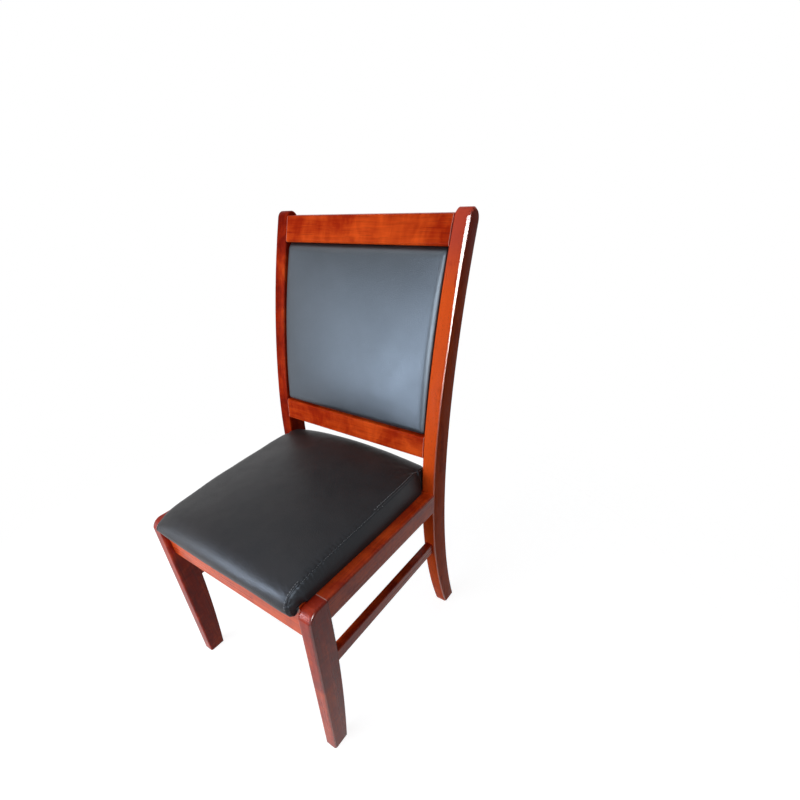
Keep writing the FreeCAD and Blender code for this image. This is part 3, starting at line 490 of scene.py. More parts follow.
def fold_table():
    """Folds at the four corners, as (start, direction, depth, length)."""
    draw = random.Random(SEED + 5)
    folds = []
    for side in (-1, 1):
        for (x, y, z), spread, depth in FOLD_STARTS:
            inward = -1 if y > 0 else 1
            base = Vector((-side * FOLD_INWARD[0], inward * FOLD_INWARD[1], 0)).normalized()
            for share in FOLD_FAN:
                angle = share * spread + draw.uniform(-FOLD_TURN, FOLD_TURN)
                turned = Vector((base.x * math.cos(angle) - base.y * math.sin(angle),
                                 base.x * math.sin(angle) + base.y * math.cos(angle), 0))
                folds.append((Vector((side * x, y, z)), turned,
                              depth * draw.uniform(*FOLD_DEPTHS), draw.uniform(*FOLD_LENGTHS)))
    return folds


def corner_folds(piece):
    """Soft folds that run from the front corners and the rear corners into the top panel."""
    folds = fold_table()
    normals = [vertex.normal.copy() for vertex in piece.data.vertices]
    for vertex, normal in zip(piece.data.vertices, normals):
        if vertex.co.z < FOAM_LEVEL:
            continue
        move = 0.0
        for start, turned, depth, length in folds:
            offset = vertex.co - start
            along = offset.x * turned.x + offset.y * turned.y
            far = max(abs(offset.x), abs(offset.y)) > FOLD_NEAR
            if far or along < 0 or along > length * FOLD_END:
                continue
            aside = offset.x * turned.y - offset.y * turned.x
            width = FOLD_WIDTH + FOLD_WIDENING * along
            move -= depth * (bell(aside, width) * bell(along, length))
        vertex.co = vertex.co + normal * move
    piece.data.update()


def clear_of_posts(piece):
    """Keep the rear corners between the posts and the band in front of them."""
    for vertex in piece.data.vertices:
        if vertex.co.y > POST_FACE * MM:
            vertex.co.x = limited(vertex.co.x, POST_SIDE * MM)
    piece.data.update()


def halved(line):
    """A line with the middle of each of its stretches added."""
    made = []
    for before, after in zip(line, line[1:]):
        made += [before, (before + after) / 2]
    return made + [line[-1]]


def build_seat_cushion():
    """The cushion, and the lines of its left and right seam."""
    points, faces, grid, left, right = seat_surface()
    piece = mesh_object("seat_cushion", points, faces)
    rim = [row[0] for row in grid] + [row[-1] for row in grid] + grid[0] + grid[-1]
    pinned = sorted(set(rim + left + right))
    cloth_settled(piece, pinned, pressure=3.0, grow=0.004, cap=0.004)
    clear_of_posts(piece)
    vertices = piece.data.vertices
    seams = [halved([vertices[index].co.copy() for index in seam]) for seam in (left, right)]
    subdivided(piece)
    seat_details(piece, seams)
    corner_folds(piece)
    faced_outward(piece, close=True)
    smooth(piece)
    return piece, seams


# Back pad: a front that rolls over at its edges, and a flat rear

PAD_MIDDLE = (PAD_BOTTOM + PAD_TOP) / 2
PAD_HALF_HEIGHT = (PAD_TOP - PAD_BOTTOM) / 2
PAD_ROLL = 0.017
PAD_ROLL_POWER = 2.5
PAD_ROLL_STEPS = 8
PAD_CORNER_POWER = 5.0
PAD_CROWN = 0.0135
PAD_WIDE_POWER = 3.0
PAD_HIGH_POWER = 2.3
PAD_CROWN_POWER = 0.75
PAD_COLUMNS = 44
PAD_ROWS = 38
PAD_REAR_RADIUS = 0.0025
PAD_REAR_INSET = PAD_REAR_RADIUS * 1.4
# Rings between the front and the rear: (inset from the edge, depth)
PAD_RINGS = [(0.0, 0.016), (0.0, PAD_DEPTH - PAD_REAR_RADIUS),
             (PAD_REAR_RADIUS * 0.3, PAD_DEPTH - PAD_REAR_RADIUS * 0.3),
             (PAD_REAR_RADIUS, PAD_DEPTH)]
PAD_WAVES = [(11, (1.1, 6.4, 2.7), 0.0007), (40, (4.2, 3.4, 8.7), 0.00015)]
PAD_FRONT_FACING = -0.8


def pad_places(half, count):
    """Places from one edge to the other: (place, share of the roll that has been turned)."""
    flat = half - PAD_ROLL
    middle = [(-flat + 2 * flat * index / count, 0.0) for index in range(count + 1)]
    turn = [math.sin(math.pi / 2 * step / PAD_ROLL_STEPS) for step in range(1, PAD_ROLL_STEPS + 1)]
    low = [(-flat - PAD_ROLL * share, share) for share in reversed(turn)]
    high = [(flat + PAD_ROLL * share, share) for share in turn]
    return low + middle + high


def pad_point(across, up, depth):
    """A point of the pad from its place on the curved plane between the posts."""
    level = PAD_MIDDLE + up
    return Vector((across, post_front_at(level) + depth, level))


def pad_front_point(across, across_turn, up, up_turn):
    """A point of the padded front, with the corners of the roll rounded."""
    most = max(across_turn, up_turn)
    if across_turn > 0 and up_turn > 0:
        total = across_turn ** PAD_CORNER_POWER + up_turn ** PAD_CORNER_POWER
        squeeze = most / total ** (1 / PAD_CORNER_POWER)
        across = math.copysign(PAD_HALF_WIDTH - PAD_ROLL + across_turn * squeeze * PAD_ROLL,
                               across)
        up = math.copysign(PAD_HALF_HEIGHT - PAD_ROLL + up_turn * squeeze * PAD_ROLL, up)
    depth = PAD_ROLL * (1 - math.sqrt(max(1 - most ** PAD_ROLL_POWER, 0.0)))
    wide = 1 - abs(across / PAD_HALF_WIDTH) ** PAD_WIDE_POWER
    high = 1 - abs(up / PAD_HALF_HEIGHT) ** PAD_HIGH_POWER
    return pad_point(across, up, depth - PAD_CROWN * (wide * high) ** PAD_CROWN_POWER)


def pad_surface():
    """Points and faces of the whole pad, and the indices inside the edge of its front."""
    columns = pad_places(PAD_HALF_WIDTH, PAD_COLUMNS)
    rows = pad_places(PAD_HALF_HEIGHT, PAD_ROWS)
    points = [pad_front_point(across, across_turn, up, up_turn)
              for up, up_turn in rows for across, across_turn in columns]
    wide = len(columns)
    front = [list(range(start, start + wide)) for start in range(0, len(points), wide)]
    faces = grid_faces(front)

    rim = (front[0] + [row[-1] for row in front[1:]] + list(reversed(front[-1][:-1]))
           + [row[0] for row in reversed(front[1:-1])])
    rings = [rim]
    for inset, depth in PAD_RINGS:
        start = len(points)
        for x, _, level in [points[index] for index in rim]:
            points.append(pad_point(limited(x, PAD_HALF_WIDTH - inset),
                                    limited(level - PAD_MIDDLE, PAD_HALF_HEIGHT - inset), depth))
        rings.append(list(range(start, len(points))))
    for near, far in zip(rings, rings[1:]):
        for index in range(len(near)):
            following = (index + 1) % len(near)
            faces.append((near[index], near[following], far[following], far[index]))

    rear_rim = dict(zip(rim, rings[-1]))
    rear = []
    for (up, _), front_line in zip(rows, front):
        line = []
        for (across, _), index in zip(columns, front_line):
            line.append(rear_rim.get(index, len(points)))
            if index not in rear_rim:
                points.append(pad_point(limited(across, PAD_HALF_WIDTH - PAD_REAR_INSET),
                                        limited(up, PAD_HALF_HEIGHT - PAD_REAR_INSET), PAD_DEPTH))
        rear.append(line)
    faces += [(first, fourth, third, second) for first, second, third, fourth in grid_faces(rear)]
    return points, faces, {index for line in front[1:-1] for index in line[1:-1]}


def build_back_pad():
    points, faces, front_inside = pad_surface()
    piece = mesh_object("back_cushion", points, faces)
    faced_outward(piece)
    pinned = [index for index in range(len(points)) if index not in front_inside]
    cloth_settled(piece, pinned, pressure=2.5, grow=0.003, cap=0.0035)
    subdivided(piece)
    normals = [vertex.normal.copy() for vertex in piece.data.vertices]
    for vertex, normal in zip(piece.data.vertices, normals):
        if normal.y < PAD_FRONT_FACING:
            vertex.co = vertex.co + normal * unevenness(vertex.co, PAD_WAVES)
    piece.data.update()
    smooth(piece)
    return piece


# Materials

class Nodes:
    """Short names for making the nodes of a material or a world."""

    def __init__(self, owner, output="ShaderNodeOutputMaterial"):
        self.owner = owner
        owner.use_nodes = True
        self.tree = owner.node_tree
        self.tree.nodes.clear()
        self.output = self.add(output)

    def add(self, kind, **inputs):
        node = self.tree.nodes.new(kind)
        for name, value in inputs.items():
            self.put(node, name.replace("_", " "), value)
        return node

    def put(self, node, socket, value):
        """Link or set a socket, by its name or its number."""
        if isinstance(value, bpy.types.NodeSocket):
            self.tree.links.new(value, node.inputs[socket])
        else:
            node.inputs[socket].default_value = value

    def joined(self, kind, *values, **settings):
        """First output of a node whose first inputs have these values."""
        node = self.add(kind)
        for name, value in settings.items():
            setattr(node, name, value)
        for index, value in enumerate(values):
            self.put(node, index, value)
        return node.outputs[0]

    def place(self, scale=(1, 1, 1), offset=(0, 0, 0)):
        """Position on the object, in metres, times a scale on each axis."""
        where = self.add("ShaderNodeTexCoord").outputs["Object"]
        mapping = self.add("ShaderNodeMapping", Vector=where, Scale=scale, Location=offset)
        return mapping.outputs["Vector"]

    def split(self):
        """X, Y and Z of the position on the object."""
        where = self.add("ShaderNodeTexCoord").outputs["Object"]
        return self.add("ShaderNodeSeparateXYZ", Vector=where).outputs

    def facing(self):
        """X, Y and Z of the direction in which the surface faces."""
        normal = self.add("ShaderNodeNewGeometry").outputs["Normal"]
        return self.add("ShaderNodeSeparateXYZ", Vector=normal).outputs

    def noise(self, place, scale, detail=3.0, roughness=0.55, distortion=0.0):
        node = self.add("ShaderNodeTexNoise", Vector=place, Scale=scale, Detail=detail,
                        Roughness=roughness, Distortion=distortion)
        return node.outputs["Fac"]

    def cells(self, place, scale):
        node = self.add("ShaderNodeTexVoronoi", Vector=place, Scale=scale)
        return node.outputs["Distance"]

    def ramp(self, value, stops):
        node = self.add("ShaderNodeValToRGB", Fac=value)
        bands = node.color_ramp.elements
        bands[0].position, bands[0].color = stops[0][0], (*stops[0][1], 1)
        bands[1].position, bands[1].color = stops[-1][0], (*stops[-1][1], 1)
        for place, colour in stops[1:-1]:
            band = bands.new(place)
            band.color = (*colour, 1)
        return node.outputs["Color"]

    def reach(self, value, span, target=(0.0, 1.0)):
        """A value that goes over the target while the first one goes over the span."""
        node = self.add("ShaderNodeMapRange", Value=value, From_Min=span[0], From_Max=span[1],
                        To_Min=target[0], To_Max=target[1])
        return node.outputs["Result"]

    def maths(self, operation, first, second=0.0):
        return self.joined("ShaderNodeMath", first, second, operation=operation)

    def mixed(self, kind, factor, values, start, output):
        """Output of a mix of two values, whose sockets begin at start."""
        node = self.add("ShaderNodeMix")
        node.data_type = kind
        for index, value in ((0, factor), (start, values[0]), (start + 1, values[1])):
            self.put(node, index, value)
        return node.outputs[output]

    def blend(self, factor, *colours):
        """The first colour, turned into the second by a factor."""
        whole = [(*part, 1) if isinstance(part, tuple) else part for part in colours]
        return self.mixed("RGBA", factor, whole, 6, 2)

    def turned(self, factor, *directions):
        """The first direction, turned towards the second by a factor."""
        return self.mixed("VECTOR", factor, directions, 4, 1)

    def bump(self, height, strength, distance, below=None):
        node = self.add("ShaderNodeBump", Height=height, Strength=strength, Distance=distance)
        if below is not None:
            self.put(node, "Normal", below)
        return node.outputs["Normal"]

    def seen(self):
        """1 where the camera looks, directly, in a reflection or through glass, and 0 for light."""
        rays = self.add("ShaderNodeLightPath").outputs
        seen = self.maths("ADD", rays["Is Camera Ray"], rays["Is Glossy Ray"])
        return self.maths("MINIMUM", self.maths("ADD", seen, rays["Is Transmission Ray"]), 1.0)

    def surface(self, shader):
        """Use a shader as the result, and return what it belongs to."""
        self.put(self.output, "Surface", shader)
        return self.owner

    def finish(self, colour, roughness, normal, specular, **constants):
        shader = self.add("ShaderNodeBsdfPrincipled", Base_Color=colour, Roughness=roughness,
                          Specular_IOR_Level=specular, Normal=normal, **constants)
        return self.surface(shader.outputs["BSDF"])

    def patterned(self, pattern, stops, bump, roughness, specular, **constants):
        """A surface whose colours and bump (strength, distance) follow one pattern."""
        return self.finish(self.ramp(pattern, stops), roughness, self.bump(pattern, *bump),
                           specular, **constants)


def material_nodes(name):
    return Nodes(bpy.data.materials.new(name))


# Wood: how much each axis is drawn out for the figure and for the grain along an axis
FIGURE_SCALES = {"X": (1.0, 0.4, 0.35), "Y": (0.4, 1.0, 0.35), "Z": (0.35, 0.4, 1.0)}
GRAIN_SCALES = {"X": (0.055, 1.0, 1.0), "Y": (1.0, 0.055, 1.0), "Z": (1.0, 1.0, 0.055)}
PORE_SCALES = {"X": (0.02, 1.0, 1.0), "Y": (1.0, 0.02, 1.0), "Z": (1.0, 1.0, 0.02)}
WOOD_DARK = (0.19, 0.0070, 0.0012)
WOOD_MIDDLE = (0.36, 0.020, 0.0020)
WOOD_BRIGHT = (0.72, 0.084, 0.010)
WOOD_PORE = (0.085, 0.008, 0.004)
WOOD_TONES = [(0.42, WOOD_DARK), (0.57, WOOD_MIDDLE), (0.78, WOOD_BRIGHT)]
WOOD_TONE_SHIFT = -0.08
BROAD_SHARE = 0.45
STREAK_SHARE = 0.22
MOTTLE_SHARE = 0.50
FIGURE_SHARE = 0.16
PORE_SHARE = 0.45
WOOD_SHEEN = 0.014
ARRIS_SHEEN = 0.65
ARRIS_POLISH = 0.12
ARRIS_FACING = (0.22, 0.40)
TOP_FACING = (0.5, 0.8)
# Pale colour of the painted highlight along the joints
JOINT_PAINTED_HIGHLIGHT = (1.0, 0.66, 0.56)

# Worn outer front arris of a post: its outer edge, its full width, the heights between which it
# widens, its end, and the fixed direction in which it is shaded. Metres.
WORN_OUTSIDE = 0.2302
WORN_WIDTH = 0.0067
WORN_HEIGHTS = (0.64, 0.88)
WORN_END = (0.917, 0.921)
WORN_EDGE = (0.0, 0.0007)
WORN_FRONT = (0.25, 0.45)
WORN_FACING = (0.68, -0.72, 0.14)


def arris_mask(make):
    """1 on the eased front arrises of upright pieces, where the lacquer is thickest."""
    facing = make.facing()
    outward = make.maths("MULTIPLY", facing[0], make.maths("SIGN", make.split()[0]))
    outward = make.maths("MAXIMUM", outward, 0.0)
    forward = make.maths("MAXIMUM", make.maths("MULTIPLY", facing[1], -1.0), 0.0)
    return make.reach(make.maths("MULTIPLY", outward, forward), ARRIS_FACING)


def worn_arris(make):
    """Mask of the outer front arris of a post, eased more and more towards the top."""
    axes = make.split()
    start = make.maths("SUBTRACT", WORN_OUTSIDE,
                       make.reach(axes[2], WORN_HEIGHTS, (0.0, WORN_WIDTH)))
    inside = make.maths("SUBTRACT", make.maths("ABSOLUTE", axes[0]), start)
    forward = make.maths("MULTIPLY", make.facing()[1], -1.0)
    mask = make.maths("MULTIPLY", make.reach(inside, WORN_EDGE), make.reach(forward, WORN_FRONT))
    return make.maths("MULTIPLY", mask, make.reach(axes[2], WORN_END, (1.0, 0.0)))


def joint_line_and_highlight(make, colour, axis, place, half_width, strength):
    """A colour with a painted highlight where two pieces meet: a pale line that stands in for light
    caught at the joint. On a line across Y, which runs over a leg and a rail, the painted highlight
    is on top and the line is dark below."""
    away = make.maths("SUBTRACT", make.maths("ABSOLUTE", make.split()[axis]), place)
    line = make.reach(make.maths("ABSOLUTE", away), (half_width * 0.5, half_width), (1.0, 0.0))
    pale = JOINT_PAINTED_HIGHLIGHT
    if axis == 1:
        pale = make.blend(make.reach(make.facing()[2], TOP_FACING), WOOD_PORE, JOINT_PAINTED_HIGHLIGHT)
    return make.blend(make.maths("MULTIPLY", line, strength), colour, pale)


def stained_wood(name, axis, offset, lift, sheen=WOOD_SHEEN, joint=None, tip=None, worn=False):
    """Stained and lacquered wood with its grain along one axis, brighter by lift, which is partly
    the piece's own tone and partly painted light.

    A joint is a plane (axis, place, half width, strength) where two pieces meet; a pale line is
    painted there as a highlight, and on a line across Y it is dark below the top. A tip (low, high,
    share, tint) turns the colour into the tint by that share from low to high, as painted shade and
    sheen towards the top of a piece."""
    make = material_nodes(name)
    place = make.place(GRAIN_SCALES[axis], offset)
    broad = make.noise(place, 24.0, detail=3.0, roughness=0.5, distortion=0.6)
    streaks = make.noise(place, 210.0, detail=4.0, roughness=0.62, distortion=0.3)
    mottled = make.noise(make.place(offset=offset), 13.0, detail=3.0, roughness=0.55,
                         distortion=0.8)
    figure = make.noise(make.place(FIGURE_SCALES[axis], offset), 60.0, detail=2.0,
                        roughness=0.5, distortion=1.2)
    tone = make.maths("MULTIPLY", broad, BROAD_SHARE)
    for part, share in ((streaks, STREAK_SHARE), (mottled, MOTTLE_SHARE), (figure, FIGURE_SHARE)):
        tone = make.maths("ADD", tone, make.maths("MULTIPLY", part, share))
    # The lift is partly the piece's own tone and partly painted light
    colour = make.ramp(make.maths("ADD", tone, lift + WOOD_TONE_SHIFT), WOOD_TONES)
    pores = make.noise(make.place(PORE_SCALES[axis], offset), 1150.0, detail=2.0, roughness=0.5)
    pore = make.reach(pores, (0.60, 0.70), (0.0, PORE_SHARE))
    colour = make.blend(pore, colour, WOOD_PORE)
    if joint:
        # Painted highlight along the joint, with a dark joint line below it on the legs
        colour = joint_line_and_highlight(make, colour, *joint)
    # The tip is painted light: shade and sheen painted by height
    if tip:
        low, high, share, tint = tip
        colour = make.blend(make.reach(make.split()[2], (low, high), (0.0, share)), colour, tint)
    normal = make.bump(pore, strength=0.25, distance=0.0002)
    normal = make.bump(streaks, strength=0.12, distance=0.0004, below=normal)
    arris = arris_mask(make)
    if worn:
        band = worn_arris(make)
        arris = make.maths("MAXIMUM", arris, band)
        normal = make.turned(band, normal, WORN_FACING)
    roughness = make.reach(make.noise(place, 60.0), (0.3, 0.7), (0.24, 0.36))
    roughness = make.maths("SUBTRACT", roughness, make.maths("MULTIPLY", arris, ARRIS_POLISH))
    specular = make.reach(arris, (0.0, 1.0), (sheen, ARRIS_SHEEN))
    return make.finish(colour, roughness, normal, specular)


LEATHER_SHEEN_TINT = (0.68, 0.83, 1.0, 1.0)


def leatherette(name, tint, sheen):
    """Black leatherette with a fine pebbled grain."""
    make = material_nodes(name)
    place = make.place()
    worn = make.noise(place, 14.0, detail=4.0)
    colour = make.ramp(worn, [(0.35, tuple(0.8 * part for part in tint)),
                              (0.65, tuple(1.2 * part for part in tint))])
    grain = make.cells(place, 1050.0)
    creases = make.noise(place, 430.0, detail=5.0, roughness=0.65, distortion=0.4)
    drawn = make.noise(make.place((1.0, 1.0, 0.22)), 420.0, roughness=0.6)
    roughness = make.reach(make.noise(place, 30.0, detail=4.0), (0.3, 0.7), (0.37, 0.43))
    normal = make.bump(grain, strength=0.22, distance=0.00035)
    normal = make.bump(creases, strength=0.30, distance=0.0011, below=normal)
    normal = make.bump(drawn, strength=0.25, distance=0.0008, below=normal)
    return make.finish(colour, roughness, normal, sheen, Specular_Tint=LEATHER_SHEEN_TINT)


def thread_material():
    make = material_nodes("seam_thread")
    twist = make.noise(make.place(), 2600.0, detail=2.0)
    stops = [(0.3, (0.09, 0.094, 0.10)), (0.7, (0.24, 0.25, 0.265))]
    return make.patterned(twist, stops, (0.4, 0.0001), roughness=0.55, specular=0.3)


def plywood():
    make = material_nodes("plywood")
    plies = make.noise(make.place((0.02, 0.02, 1)), 700.0, detail=1.0)
    grain = make.noise(make.place((1, 0.06, 1)), 190.0, detail=4.0)
    tone = make.maths("ADD", make.maths("MULTIPLY", plies, 0.5),
                      make.maths("MULTIPLY", grain, 0.5))
    colour = make.ramp(tone, [(0.35, (0.30, 0.17, 0.085)), (0.65, (0.56, 0.39, 0.23))])
    return make.finish(colour, 0.72, make.bump(grain, strength=0.3, distance=0.0004), 0.25)


def raw_wood():
    make = material_nodes("raw_wood")
    grain = make.noise(make.place((1, 0.07, 1)), 170.0, detail=5.0, roughness=0.6, distortion=0.5)
    saw = make.noise(make.place((0.05, 1, 1)), 420.0, detail=2.0)
    colour = make.ramp(grain, [(0.3, (0.34, 0.20, 0.10)), (0.7, (0.60, 0.42, 0.25))])
    normal = make.bump(grain, strength=0.3, distance=0.0004)
    normal = make.bump(saw, strength=0.25, distance=0.0003, below=normal)
    return make.finish(colour, 0.7, normal, 0.25)


def foam():
    make = material_nodes("foam")
    pores = make.cells(make.place(), 900.0)
    stops = [(0.1, (0.42, 0.36, 0.22)), (0.6, (0.72, 0.66, 0.46))]
    return make.patterned(pores, stops, (0.8, 0.0006), roughness=0.95, specular=0.1)


def dust_cloth():
    make = material_nodes("dust_cloth")
    lengthways = make.noise(make.place((1, 0.05, 1)), 1500.0, detail=2.0)
    crossways = make.noise(make.place((0.05, 1, 1)), 1500.0, detail=2.0)
    weave = make.maths("MAXIMUM", lengthways, crossways)
    stops = [(0.4, (0.014, 0.014, 0.015)), (0.7, (0.050, 0.050, 0.053))]
    return make.patterned(weave, stops, (0.5, 0.0003), roughness=0.9, specular=0.2)


def zinc():
    make = material_nodes("zinc_steel")
    place = make.place()
    spangle = make.cells(place, 900.0)
    stops = [(0.2, (0.50, 0.51, 0.50)), (0.7, (0.66, 0.67, 0.66))]
    roughness = make.reach(make.noise(place, 700.0), (0.3, 0.7), (0.26, 0.42))
    return make.patterned(spangle, stops, (0.1, 0.0001), roughness, specular=0.5, Metallic=1.0)


def nylon():
    make = material_nodes("nylon")
    cast = make.noise(make.place(), 480.0)
    stops = [(0.3, (0.028, 0.027, 0.026)), (0.7, (0.055, 0.053, 0.050))]
    return make.patterned(cast, stops, (0.2, 0.0002), roughness=0.5, specular=0.4)


# Smooth shading of the solids by a modifier, which leaves their own points alone

def shading_nodes(name, angle):
    tree = bpy.data.node_groups.new(name, "GeometryNodeTree")
    tree.interface.new_socket("Geometry", in_out="INPUT", socket_type="NodeSocketGeometry")
    tree.interface.new_socket("Geometry", in_out="OUTPUT", socket_type="NodeSocketGeometry")
    source = tree.nodes.new("NodeGroupInput")
    target = tree.nodes.new("NodeGroupOutput")
    plain = tree.nodes.new("GeometryNodeRemoveAttribute")
    plain.inputs["Name"].default_value = "custom_normal"
    welded = tree.nodes.new("GeometryNodeMergeByDistance")
    welded.inputs["Distance"].default_value = 0.00001
    faces = tree.nodes.new("GeometryNodeSetShadeSmooth")
    edges = tree.nodes.new("GeometryNodeSetShadeSmooth")
    edges.domain = "EDGE"
    edges.inputs["Shade Smooth"].default_value = False
    bend = tree.nodes.new("GeometryNodeInputMeshEdgeAngle")
    test = tree.nodes.new("FunctionNodeCompare")
    test.data_type = "FLOAT"
    test.operation = "GREATER_THAN"
    test.inputs[1].default_value = angle
    chain = [source, plain, welded, faces, edges, target]
    for before, after in zip(chain, chain[1:]):
        tree.links.new(before.outputs[0], after.inputs[0])
    tree.links.new(bend.outputs["Unsigned Angle"], test.inputs[0])
    tree.links.new(test.outputs["Result"], edges.inputs["Selection"])
    return tree


SHARP = shading_nodes("smooth_by_angle", math.radians(32))
SOFT_BEVEL = shading_nodes("smooth_over_bevels", math.radians(52))


def paint(piece, material):
    piece.data.materials.clear()
    piece.data.materials.append(material)


def dress(names, material, tree=SHARP, weighted=False):
    """Give CAD nodes a material and smooth shading."""
    for name in names:
        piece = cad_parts[name]
        paint(piece, material)
        modifier = piece.modifiers.new("shading", "NODES")
        modifier.node_group = tree
        if weighted:
            normals = piece.modifiers.new("normals", "WEIGHTED_NORMAL")
            normals.keep_sharp = True
            normals.weight = 80


def both(stem):
    return [stem + "_left", stem + "_right"]


# Stitches: short threads that lie along a line

STITCH_LENGTH = 0.0034
STITCH_GAP = 0.0014
STITCH_RADIUS = 0.00062
STITCH_SIDES = 6
STITCH_SHAPE = [(0.0, 0.5), (0.15, 1.0), (0.85, 1.0), (1.0, 0.5)]
STITCH_LIFT = 0.0001
TOPSTITCH_SET = 0.005
TOPSTITCH_START = RAIL_TOP + 0.004
TOPSTITCH_FACING = -0.2


def resampled(line, step):
    """Points at even steps along a line, with their directions."""
    made = []
    carried = 0.0
    for before, after in zip(line, line[1:]):
        stretch = (after - before).length
        place = carried
        while place < stretch:
            made.append((before.lerp(after, place / stretch), (after - before).normalized()))
            place += step
        carried = place - stretch
    return made


def stitches(name, lines):
    """One object with a row of stitches along each line of (point, outward normal)."""
    points = []
    faces = []
    for line in lines:
        plain = [point + normal * STITCH_LIFT for point, normal in line]
        for start, direction in resampled(plain, STITCH_LENGTH + STITCH_GAP):
            side = direction.cross(Vector((0.2, 0.3, 1))).normalized()
            up = side.cross(direction)
            first = len(points)
            for share, width in STITCH_SHAPE:
                centre = start + direction * STITCH_LENGTH * share
                for corner in range(STITCH_SIDES):
                    angle = 2 * math.pi * corner / STITCH_SIDES
                    ring = side * math.cos(angle) + up * math.sin(angle)
                    points.append(centre + ring * STITCH_RADIUS * width)
            last = len(points) - STITCH_SIDES
            for base in range(first, last, STITCH_SIDES):
                for corner in range(STITCH_SIDES):
                    following = (corner + 1) % STITCH_SIDES
                    faces.append((base + corner, base + following,
                                  base + STITCH_SIDES + following, base + STITCH_SIDES + corner))
            faces.append(tuple(first + corner for corner in reversed(range(STITCH_SIDES))))
            faces.append(tuple(last + corner for corner in range(STITCH_SIDES)))
    piece = mesh_object(name, points, faces)
    smooth(piece)
    return piece


def topstitch_line(cushion, seam, side):
    """A line on the top panel beside a seam, with the surface's normals."""
    bpy.context.view_layer.update()
    line = []
    for point in seam:
        if point.z < TOPSTITCH_START:
            continue
        probe = point + Vector((-side * TOPSTITCH_SET, 0, 0.0))
        found, spot, normal = cushion.closest_point_on_mesh(probe)[:3]
        if found and normal.z > TOPSTITCH_FACING:
            line.append((spot, normal))
    return line


# Cloth under the seat board: levels of its two faces, and its mesh
UNDERLINING_LEVELS = (0.42145, 0.42110)
UNDERLINING_COLUMNS = 36
UNDERLINING_ROWS = 38


def underlining():
    """The cloth under the seat board, drawn tight between its staples."""
    low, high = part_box("seat_dust_cover")
    wide = high.x - low.x
    deep = high.y - low.y
    points = [Vector((low.x + wide * column / UNDERLINING_COLUMNS,
                      low.y + deep * row / UNDERLINING_ROWS, level))
              for level in UNDERLINING_LEVELS
              for row in range(UNDERLINING_ROWS + 1)
              for column in range(UNDERLINING_COLUMNS + 1)]
    across = UNDERLINING_COLUMNS + 1
    layer = across * (UNDERLINING_ROWS + 1)
    faces = []
    for row in range(UNDERLINING_ROWS):
        for base in range(row * across, row * across + UNDERLINING_COLUMNS):
            quad = (base, base + 1, base + across + 1, base + across)
            faces.append(quad)
            faces.append(tuple(layer + index for index in reversed(quad)))
    last_row = UNDERLINING_ROWS * across
    border = (list(range(UNDERLINING_COLUMNS))
              + list(range(UNDERLINING_COLUMNS, last_row + UNDERLINING_COLUMNS, across))
              + list(range(last_row + UNDERLINING_COLUMNS, last_row, -1))
              + list(range(last_row, 0, -across)))
    for here, following in zip(border, border[1:] + border[:1]):
        faces.append((following, here, layer + here, layer + following))
    piece = mesh_object("seat_underlining", points, faces)
    smooth(piece)
    return piece, (wide, deep)


# Assembly

LEG_SHEEN = 0.16
# Joints: a pale painted highlight along each, and on the legs a dark line below the top
RAIL_JOINT = (0, 0.198, 0.0007, 0.45)
LEG_JOINT = (1, 0.2117, 0.0016, 1.0)
# The two tips below are painted light: the first darkens the upper ends of the front legs as
# painted shade on their rounded tops, the second darkens the top of the near post with a pink cast
# as painted shade and painted sheen.
LEG_TOP_PAINTED_SHADE = (0.380, 0.402, 0.65, (0.32, 0.016, 0.004))
POST_TOP_PAINTED_SHADE_AND_SHEEN = (0.81, 0.885, 0.75, (0.42, 0.050, 0.036))
SEAT_TINT = (0.0150, 0.0112, 0.0100)
BACK_TINT = (0.0175, 0.0175, 0.0190)

# The lifts differ from piece to piece, partly as the pieces' own tone and partly as painted light:
# the near post is lighter and the far post darker, standing in for the light on one and the shade
# on the other, and the lifts of the apron and side rails also stand partly for light.
wood_rails = stained_wood("stained_wood_across", "X", (0.3, 1.7, 0.4), 0.03, joint=RAIL_JOINT)
wood_sides = stained_wood("stained_wood_side", "Y", (2.1, 0.2, 0.9), 0.10, LEG_SHEEN)
wood_legs = stained_wood("stained_wood_leg", "Z", (0.7, 0.6, 1.9), -0.02, LEG_SHEEN,
                         joint=LEG_JOINT, tip=LEG_TOP_PAINTED_SHADE)
# Near post: lighter by painted light, with painted shade and sheen at its top
wood_near_post_painted_lit = stained_wood("stained_wood_post_right", "Z", (1.7, 0.1, 0.9), 0.22,
                              tip=POST_TOP_PAINTED_SHADE_AND_SHEEN, worn=True)
# Far post: darker by painted shade
wood_far_post_painted_shade = stained_wood("stained_wood_post_left", "Z", (0.2, 0.9, 2.9), -0.07)
wood_apron = stained_wood("stained_wood_apron", "X", (1.3, 0.1, 2.2), 0.12, LEG_SHEEN)

dress(["rear_post_right"], wood_near_post_painted_lit, SOFT_BEVEL, weighted=True)
dress(["rear_post_left"], wood_far_post_painted_shade, SOFT_BEVEL, weighted=True)
dress(both("front_leg"), wood_legs, weighted=True)
dress(both("side_rail") + both("side_stretcher"), wood_sides, weighted=True)
dress(["lower_back_rail", "top_back_rail"], wood_rails, weighted=True)
dress(["front_rail", "rear_rail"], wood_apron, weighted=True)
dress(both("corner_block_front") + both("corner_block_rear") + ["back_keys"], raw_wood())
dress(["seat_board", "back_board"], plywood())
dress(["seat_foam", "back_foam"], foam())
dress(["corner_block_screws", "seat_screws"], zinc())
dress(["foot_glides"], nylon())

seat_leather = leatherette("seat_leatherette", SEAT_TINT, 0.25)
back_leather = leatherette("back_leatherette", BACK_TINT, 0.76)
dress(both("seat_side_band") + ["seat_cover"], seat_leather)
dress(["back_cover", "back_rear_cover"], back_leather)

seat, seams = build_seat_cushion()
paint(seat, seat_leather)
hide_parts("seat_cover", "seat_side_band_left", "seat_side_band_right", "seat_foam")
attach(seat, "root")

